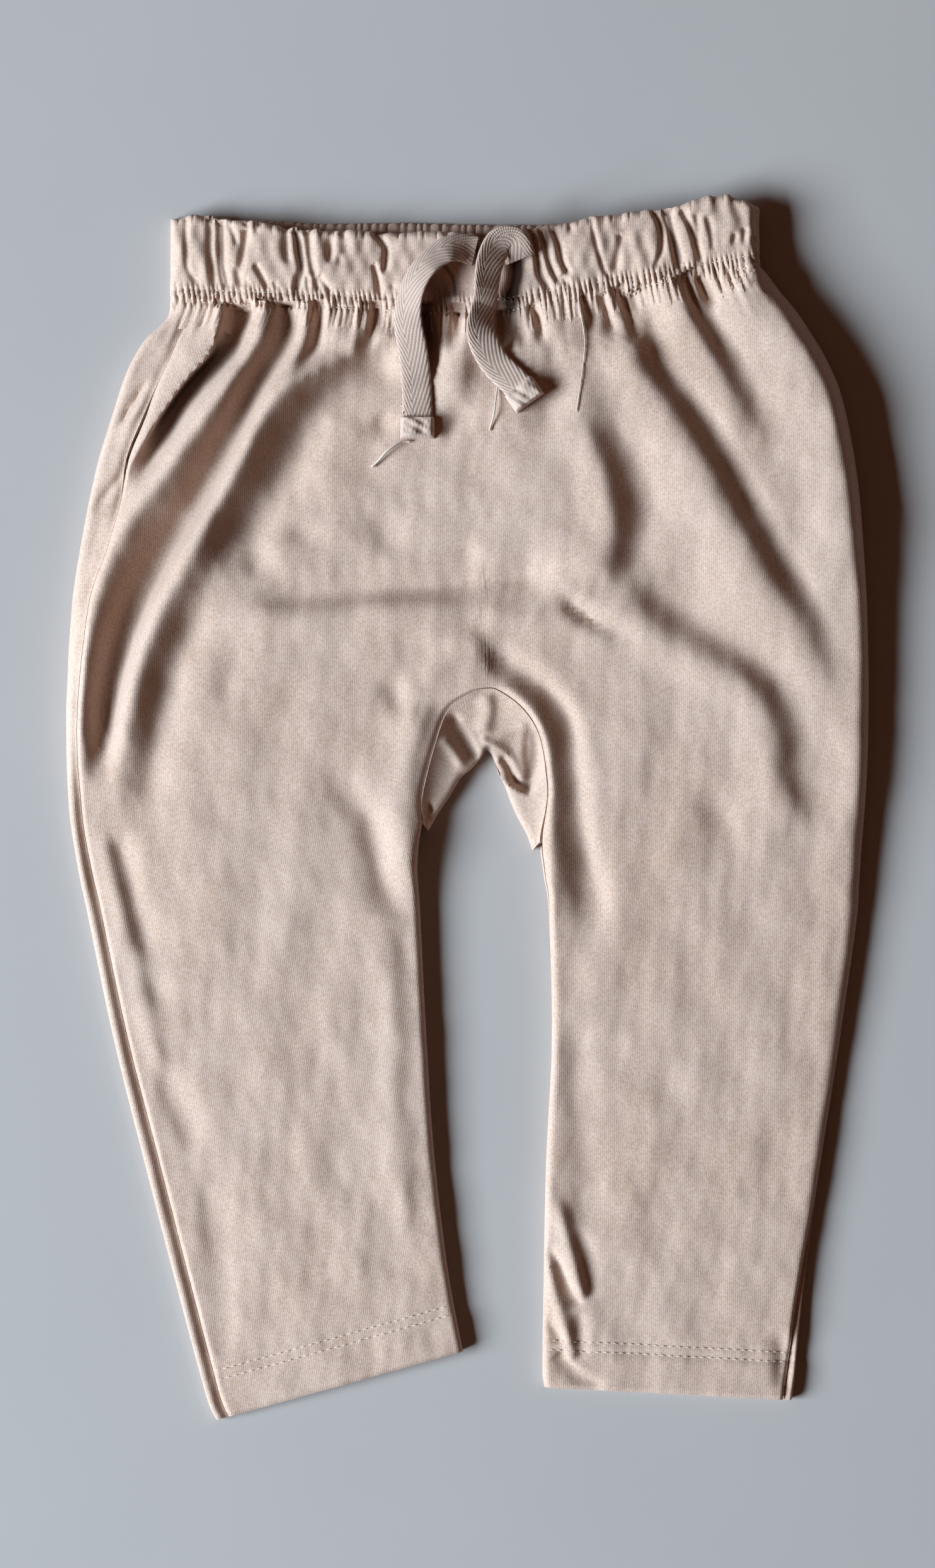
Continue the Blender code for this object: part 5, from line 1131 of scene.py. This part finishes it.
def make_tape(name, route, lifts, turns, material):
    """A flat herringbone tape that lies over the cloth, with a folded and sewn end. Gives the
    object and the line down its middle."""
    centre, run = tape_route(route)
    step = np.gradient(centre, axis=0)
    step /= np.linalg.norm(step, axis=1, keepdims=True)
    side = np.stack([-step[:, 1], step[:, 0]], axis=1)
    crowded = np.sin(np.linspace(-QUARTER, QUARTER, TAPE_COLUMNS))
    place = crowded * TAPE_CROWDING + np.linspace(-1, 1, TAPE_COLUMNS) * (1 - TAPE_CROWDING)
    at_end = ease((run - run[-1] + TAPE_END) / TAPE_END_EASE)[:, None]
    width = TAPE_WIDTH * (1 + TAPE_END_WIDER * at_end)
    across = width / 2 * place[None, :]
    turn = np.radians(table(turns, run))[:, None]
    x = centre[:, :1] + side[:, :1] * across * np.cos(turn)
    y = centre[:, 1:] + side[:, 1:] * across * np.cos(turn)
    tilt = across * np.sin(turn)
    rest = smooth_edge((upper_side(x, y) - tilt).max(axis=1), TAPE_SMOOTH)[:, None]
    low = rest + TAPE_CLEARANCE + table(lifts, run)[:, None] + tilt
    low = low - TAPE_DROOP * np.abs(place[None, :]) ** 3
    rounded = np.sqrt(np.clip(1 - np.abs(place[None, :]) ** TAPE_ROUNDING, 0, 1))
    lumps = sum(height * wander(x, y, size, seed) for height, size, seed in TAPE_LUMPS)
    ending = ease((run[-1] - run) / TAPE_END_EASE)[:, None]
    thick = TAPE_THICKNESS + at_end * (TAPE_END_THICKNESS - TAPE_THICKNESS + lumps)
    shown = WEAVE_DEPTH * (1 - TAPE_END_FLATTER * at_end)
    thick = TAPE_EDGE + (thick - TAPE_EDGE) * rounded
    thick = thick * (TAPE_END_SHARE + (1 - TAPE_END_SHARE) * ending)
    ribs = tape_weave(across, run[:, None])
    edge = ease((TAPE_WIDTH / 2 - np.abs(across)) / WEAVE_EDGE)
    high = low + thick + shown * (ribs - 0.5) * edge
    inner = np.stack([x, y, low], axis=-1)
    outer = np.stack([x, y, high], axis=-1)
    # Painted shade of the weave: lower in the grooves between its ribs, and weaker at the sewn end.
    shade = 1 - (1 - ribs) * (1 - TAPE_END_PALER * at_end)
    grain_and_shade = np.stack([across, run[:, None] + 0 * across, shade], axis=-1)
    obj = make_wall(name, inner, outer, material, grain_and_shade)
    middle = (inner + outer)[:, TAPE_COLUMNS // 2] / 2
    return obj, middle


def read_line(at, places, points):
    """A point of a line of points in space, read at a place along it."""
    return np.array([np.interp(at, places, points[:, axis]) for axis in range(3)])


def ring(middle, side, up, size):
    """Points of one ring of a thread, of this width."""
    points = []
    for turn in range(THREAD_SIDES):
        angle = TURN * turn / THREAD_SIDES
        points.append(middle + (side * math.cos(angle) + up * math.sin(angle)) * size / 2)
    return points


def tube_faces(base, rings):
    """Faces of a closed thread whose rings of points start at this index."""
    faces = []
    for first in range(base, base + (rings - 1) * THREAD_SIDES, THREAD_SIDES):
        for turn in range(THREAD_SIDES):
            a, b = first + turn, first + (turn + 1) % THREAD_SIDES
            faces.append((a, a + THREAD_SIDES, b + THREAD_SIDES, b))
    last = base + (rings - 1) * THREAD_SIDES
    faces.append(tuple(range(base, base + THREAD_SIDES)))
    faces.append(tuple(reversed(range(last, last + THREAD_SIDES))))
    return faces


def make_stitches(name, lines, sizes, material):
    """Rows of sewing stitches along lines of points on the cloth, each with its upward direction."""
    stitch, gap, width = sizes
    points, faces = [], []
    for line, ups in lines:
        run = np.concatenate([[0], np.cumsum(np.linalg.norm(np.diff(line, axis=0), axis=1))])
        for number in range(int(run[-1] / (stitch + gap))):
            first = number * (stitch + gap) + gap / 2
            start, end = (read_line(at, run, line) for at in (first, first + stitch))
            up = read_line(first + stitch / 2, run, ups)
            up /= np.linalg.norm(up)
            side = np.cross(up, end - start)
            side /= np.linalg.norm(side)
            faces += tube_faces(len(points), len(STITCH_RINGS))
            for share, size, lift in STITCH_RINGS:
                points += ring(start + (end - start) * share + up * width * lift, side, up, width * size)
    return new_piece(name, points, faces, material, np.zeros((len(points), 3)))


def make_threads(material):
    """Loose ends of thread that lie on the cloth beside the tapes."""
    points, faces = [], []
    up = np.array((0.0, 0.0, 1.0))
    for thick, lift, line in LOOSE_THREADS:
        route = evenly(line, THREAD_RINGS)
        rise = lift * np.sin(np.linspace(0, math.pi, THREAD_RINGS)) ** 2
        height = upper_side(route[:, 0], route[:, 1]) + thick + rise
        middle = np.column_stack([route, height])
        side = np.cross(np.gradient(middle, axis=0), up)
        side /= np.linalg.norm(side, axis=1, keepdims=True)
        faces += tube_faces(len(points), THREAD_RINGS)
        for number in range(THREAD_RINGS):
            size = thick if 0 < number < THREAD_RINGS - 1 else thick * THREAD_TIP
            points += ring(middle[number], side[number], up, size)
    return new_piece("loose_threads", points, faces, material, np.zeros((len(points), 3)))


def level_line(points, away, distance):
    """The line of a grid of points that lies this far from its last row."""
    line, ups = [], []
    normals = grid_normals(points)
    for column in range(points.shape[1]):
        order = np.argsort(away[:, column])
        places = away[order, column]
        line.append(read_line(distance, places, points[order, column]))
        ups.append(read_line(distance, places, normals[order, column]))
    return np.array(line), np.array(ups)


def hem_stitch_lines():
    """The two sewn lines of both hems, on the front."""
    lines = []
    for rows in (LEFT_ROWS, RIGHT_ROWS):
        points, _ = half_grid(rows, True)
        shown = points[-HEM_LINE_ROWS:, HEM_LINE_COLUMNS]
        away = from_hem(shown)
        lines += [level_line(shown, away, distance) for distance in HEM_STITCHES]
    return lines


def casing_stitch_lines():
    """The sewn lines along both edges of the shirred band of the front casing."""
    left, right = CASING_LEFT + STITCH_LINE_INSET, CASING_RIGHT - STITCH_LINE_INSET
    x = np.linspace(left, right, STITCH_LINE_POINTS)
    lines = []
    for above in SHIRR_LINES:
        y = casing_seam_y(x) + above
        z = upper_side(x, y)
        line = np.stack([x, y, z], axis=1)
        lines.append((line, np.tile((0.0, 0.0, 1.0), (len(x), 1))))
    return lines


def node(tree, kind, inputs=(), **settings):
    """Adds a shader node, with its settings and with values or links for its inputs."""
    made = tree.nodes.new(kind)
    for name, value in settings.items():
        setattr(made, name, value)
    for key, value in dict(inputs).items():
        if isinstance(value, bpy.types.NodeSocket):
            tree.links.new(value, made.inputs[key])
        else:
            made.inputs[key].default_value = value
    return made


def maths(tree, operation, first, second=0.0):
    """The result of a Math node."""
    return node(tree, "ShaderNodeMath", {0: first, 1: second}, operation=operation).outputs[0]


def new_material(name):
    """A material with its tree and its shader."""
    material = bpy.data.materials.new(name)
    material.use_nodes = True
    return material, material.node_tree, material.node_tree.nodes["Principled BSDF"]


def noise(tree, where, scale, detail):
    """Uneven values around a half, in patches that are smaller the larger the scale."""
    inputs = {"Vector": where, "Scale": scale, "Detail": detail}
    return node(tree, "ShaderNodeTexNoise", inputs).outputs["Fac"]


def weighted(tree, *parts):
    """The sum of some values, each times its weight."""
    total = None
    for value, weight in parts:
        term = maths(tree, "MULTIPLY", value, weight)
        total = term if total is None else maths(tree, "ADD", total, term)
    return total


def ribs(tree, angle):
    """Rounded ribs, one for each half turn of the angle."""
    return maths(tree, "ABSOLUTE", maths(tree, "SINE", angle))


def mix(tree, share, first, second):
    """A colour between two."""
    made = node(tree, "ShaderNodeMix", {0: share, 6: first, 7: second}, data_type="RGBA")
    return made.outputs[2]


def positions(tree):
    """A place in the cloth, as its grain gives it, with the share of painted shade as its third value, and
    its place in space.
    """
    grain_and_shade = node(tree, "ShaderNodeAttribute", attribute_name="grain_and_shade").outputs["Vector"]
    place = node(tree, "ShaderNodeSeparateXYZ", {0: grain_and_shade}).outputs
    return place, node(tree, "ShaderNodeTexCoord").outputs["Object"]


def dress(tree, shader, colour, bump, values):
    """Gives a shader its colour, its bump and its values."""
    tree.links.new(colour, shader.inputs["Base Color"])
    if bump:
        strength, distance, height = bump
        inputs = {"Strength": strength, "Distance": distance, "Height": height}
        tree.links.new(node(tree, "ShaderNodeBump", inputs).outputs["Normal"], shader.inputs["Normal"])
    for name, value in values.items():
        shader.inputs[name].default_value = value


def jersey(name, light, dark, inside):
    """Fine rib jersey: rounded ribs with painted shade in their grooves, soft fuzz and slight unevenness of
    dye, and painted shade in its deepest creases, at the tapes' openings and where the tapes cast shadow."""
    material, tree, shader = new_material(name)
    place, where = positions(tree)
    rib = ribs(tree, weighted(tree, (place["X"], math.pi / RIB), (noise(tree, where, 420.0, 2.0), 3.4)))
    loop = ribs(tree, maths(tree, "MULTIPLY", place["Y"], math.pi / LOOP))
    height = weighted(tree, (rib, 1.0), (loop, 0.18), (noise(tree, where, 2600.0, 3.0), 1.4))
    # Painted shade: the grooves between the ribs are mixed towards the dark tone, with the uneven dye.
    groove = maths(tree, "POWER", maths(tree, "SUBTRACT", 1.0, rib), 1.6)
    dye = noise(tree, where, 22.0, 4.0)
    grit = noise(tree, where, 1300.0, 4.0)
    cloud = noise(tree, where, 260.0, 4.0)
    amount = weighted(tree, (groove, 0.2), (dye, 0.6), (grit, 2.2), (cloud, 0.3))
    colour = mix(tree, maths(tree, "SUBTRACT", amount, 1.28), (*light, 1), (*dark, 1))
    # Painted shade: the grain's third value mixes in the dark colour of the deepest creases.
    dress(tree, shader, mix(tree, place["Z"], colour, (*inside, 1)), (0.5, 0.00006, height),
          {"Roughness": 0.92, "Specular IOR Level": 0.2, "Sheen Weight": 0.12, "Sheen Roughness": 0.5})
    return material


def woven(name, light, dark):
    """Cotton tape: threads that cross the slanting ribs of its weave, with painted shade in the grooves
    between the ribs.
    """
    material, tree, shader = new_material(name)
    place, where = positions(tree)
    picks = ribs(tree, maths(tree, "MULTIPLY", place["Y"], math.pi / PICK))
    ends = ribs(tree, maths(tree, "MULTIPLY", place["X"], math.pi / END))
    fuzz = noise(tree, where, 3200.0, 3.0)
    height = weighted(tree, (maths(tree, "MULTIPLY", picks, ends), 1.0), (fuzz, 0.8))
    # Painted shade: the grooves of the weave are mixed towards the dark colour.
    groove = maths(tree, "SUBTRACT", 1.0, place["Z"])
    amount = weighted(tree, (groove, 0.9), (noise(tree, where, 240.0, 3.0), 0.25))
    dress(tree, shader, mix(tree, amount, (*light, 1), (*dark, 1)), (0.6, 0.0002, height),
          {"Roughness": 0.85, "Specular IOR Level": 0.25, "Sheen Weight": 0.1})
    return material


def thread(name, light, dark):
    """Sewing thread, finely twisted."""
    material, tree, shader = new_material(name)
    twist = noise(tree, node(tree, "ShaderNodeTexCoord").outputs["Object"], 4200.0, 2.0)
    colour = mix(tree, twist, (*light, 1), (*dark, 1))
    dress(tree, shader, colour, (0.5, 0.0001, twist), {"Roughness": 0.6})
    return material


def surface(name, dark, light):
    """Smooth, pale grey surface with a faint unevenness."""
    material, tree, shader = new_material(name)
    cloud = noise(tree, node(tree, "ShaderNodeTexCoord").outputs["Object"], 14.0, 5.0)
    dress(tree, shader, mix(tree, cloud, (*dark, 1), (*light, 1)), None, {"Roughness": 0.7})
    return material


def make_camera():
    """A camera straight above, which frames as much as the photograph does."""
    camera = bpy.data.cameras.new("camera")
    obj = bpy.data.objects.new("camera", camera)
    bpy.context.scene.collection.objects.link(obj)
    obj.location = (VIEW_CENTRE[0] * MM, VIEW_CENTRE[1] * MM, (CAMERA_DISTANCE + VIEW_PLANE) * MM)
    camera.sensor_fit = "VERTICAL"
    camera.sensor_height = SENSOR
    camera.lens = SENSOR * CAMERA_DISTANCE / VIEW_HEIGHT
    camera.clip_end = 50.0
    bpy.context.scene.camera = obj


def make_light():
    """A low window light from the left and a little below, and a dim warm fill."""
    lamp = bpy.data.lights.new("window", "AREA")
    lamp.shape = "RECTANGLE"
    lamp.size, lamp.size_y = WINDOW_SIZE
    lamp.energy = WINDOW_POWER
    lamp.color = WINDOW_COLOUR
    obj = bpy.data.objects.new("window", lamp)
    bpy.context.scene.collection.objects.link(obj)
    away = WINDOW_DISTANCE * math.cos(WINDOW_RISE)
    obj.location = (away * math.cos(WINDOW_BEARING), away * math.sin(WINDOW_BEARING),
                    WINDOW_DISTANCE * math.sin(WINDOW_RISE))
    obj.rotation_euler = (QUARTER - WINDOW_RISE, 0, WINDOW_BEARING + QUARTER)
    world = bpy.data.worlds.new("fill")
    bpy.context.scene.world = world
    world.use_nodes = True
    background = world.node_tree.nodes["Background"]
    background.inputs["Color"].default_value = FILL_COLOUR
    background.inputs["Strength"].default_value = FILL_STRENGTH
    bpy.context.scene.view_settings.view_transform = "Standard"


def make_floor():
    """The plain surface under the garment."""
    signs = ((-1, -1), (1, -1), (1, 1), (-1, 1))
    corners = [(x * FLOOR_HALF, y * FLOOR_HALF, -FLOOR_DROP) for x, y in signs]
    floor = new_piece("floor", corners, [(0, 1, 2, 3)], surface("surface", *FLOOR_COLOURS))


def build():
    """Makes every piece, hides the solids that the cloth and tapes replace, and hangs the pieces on the
    root body.
    """
    make_camera()
    tape = woven("tape_cotton", *TAPE_COLOURS)
    for name, solid, route, lifts, turns, length in TAPES:
        piece, middle = make_tape(name, route, lifts, turns, tape)
        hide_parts(solid)
        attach(piece, "root")
    cloth = jersey("jersey", *CLOTH_COLOURS)
    cotton = thread("sewing_thread", *THREAD_COLOURS)
    sheets = (
        (make_panel("cloth_front", True, cloth), "front_panel", (0.300, 0.385), "laid", 0.0815),
        (make_panel("cloth_back", False, cloth), "back_panel", (0.290, 0.385), "laid", 0.0815),
        (make_gusset(cloth), "gusset", (0.090, 0.055), "folded", 0.0031),
        (make_casing_front(cloth), "waistband_front", (0.262, 0.030), "gathered", None),
        (make_casing_back(cloth), "waistband_back", (0.262, 0.030), "gathered", None),
    )
    for piece, solid, flat, held, area in sheets:
        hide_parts(solid)
        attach(piece, "root")
    sewing = (make_stitches("hem_stitches", hem_stitch_lines(), HEM_STITCH, cotton),
              make_stitches("casing_stitches", casing_stitch_lines(), CASING_STITCH, cotton),
              make_threads(cotton))
    for piece in sewing:
        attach(piece, "root")
    make_floor()
    make_light()


build()
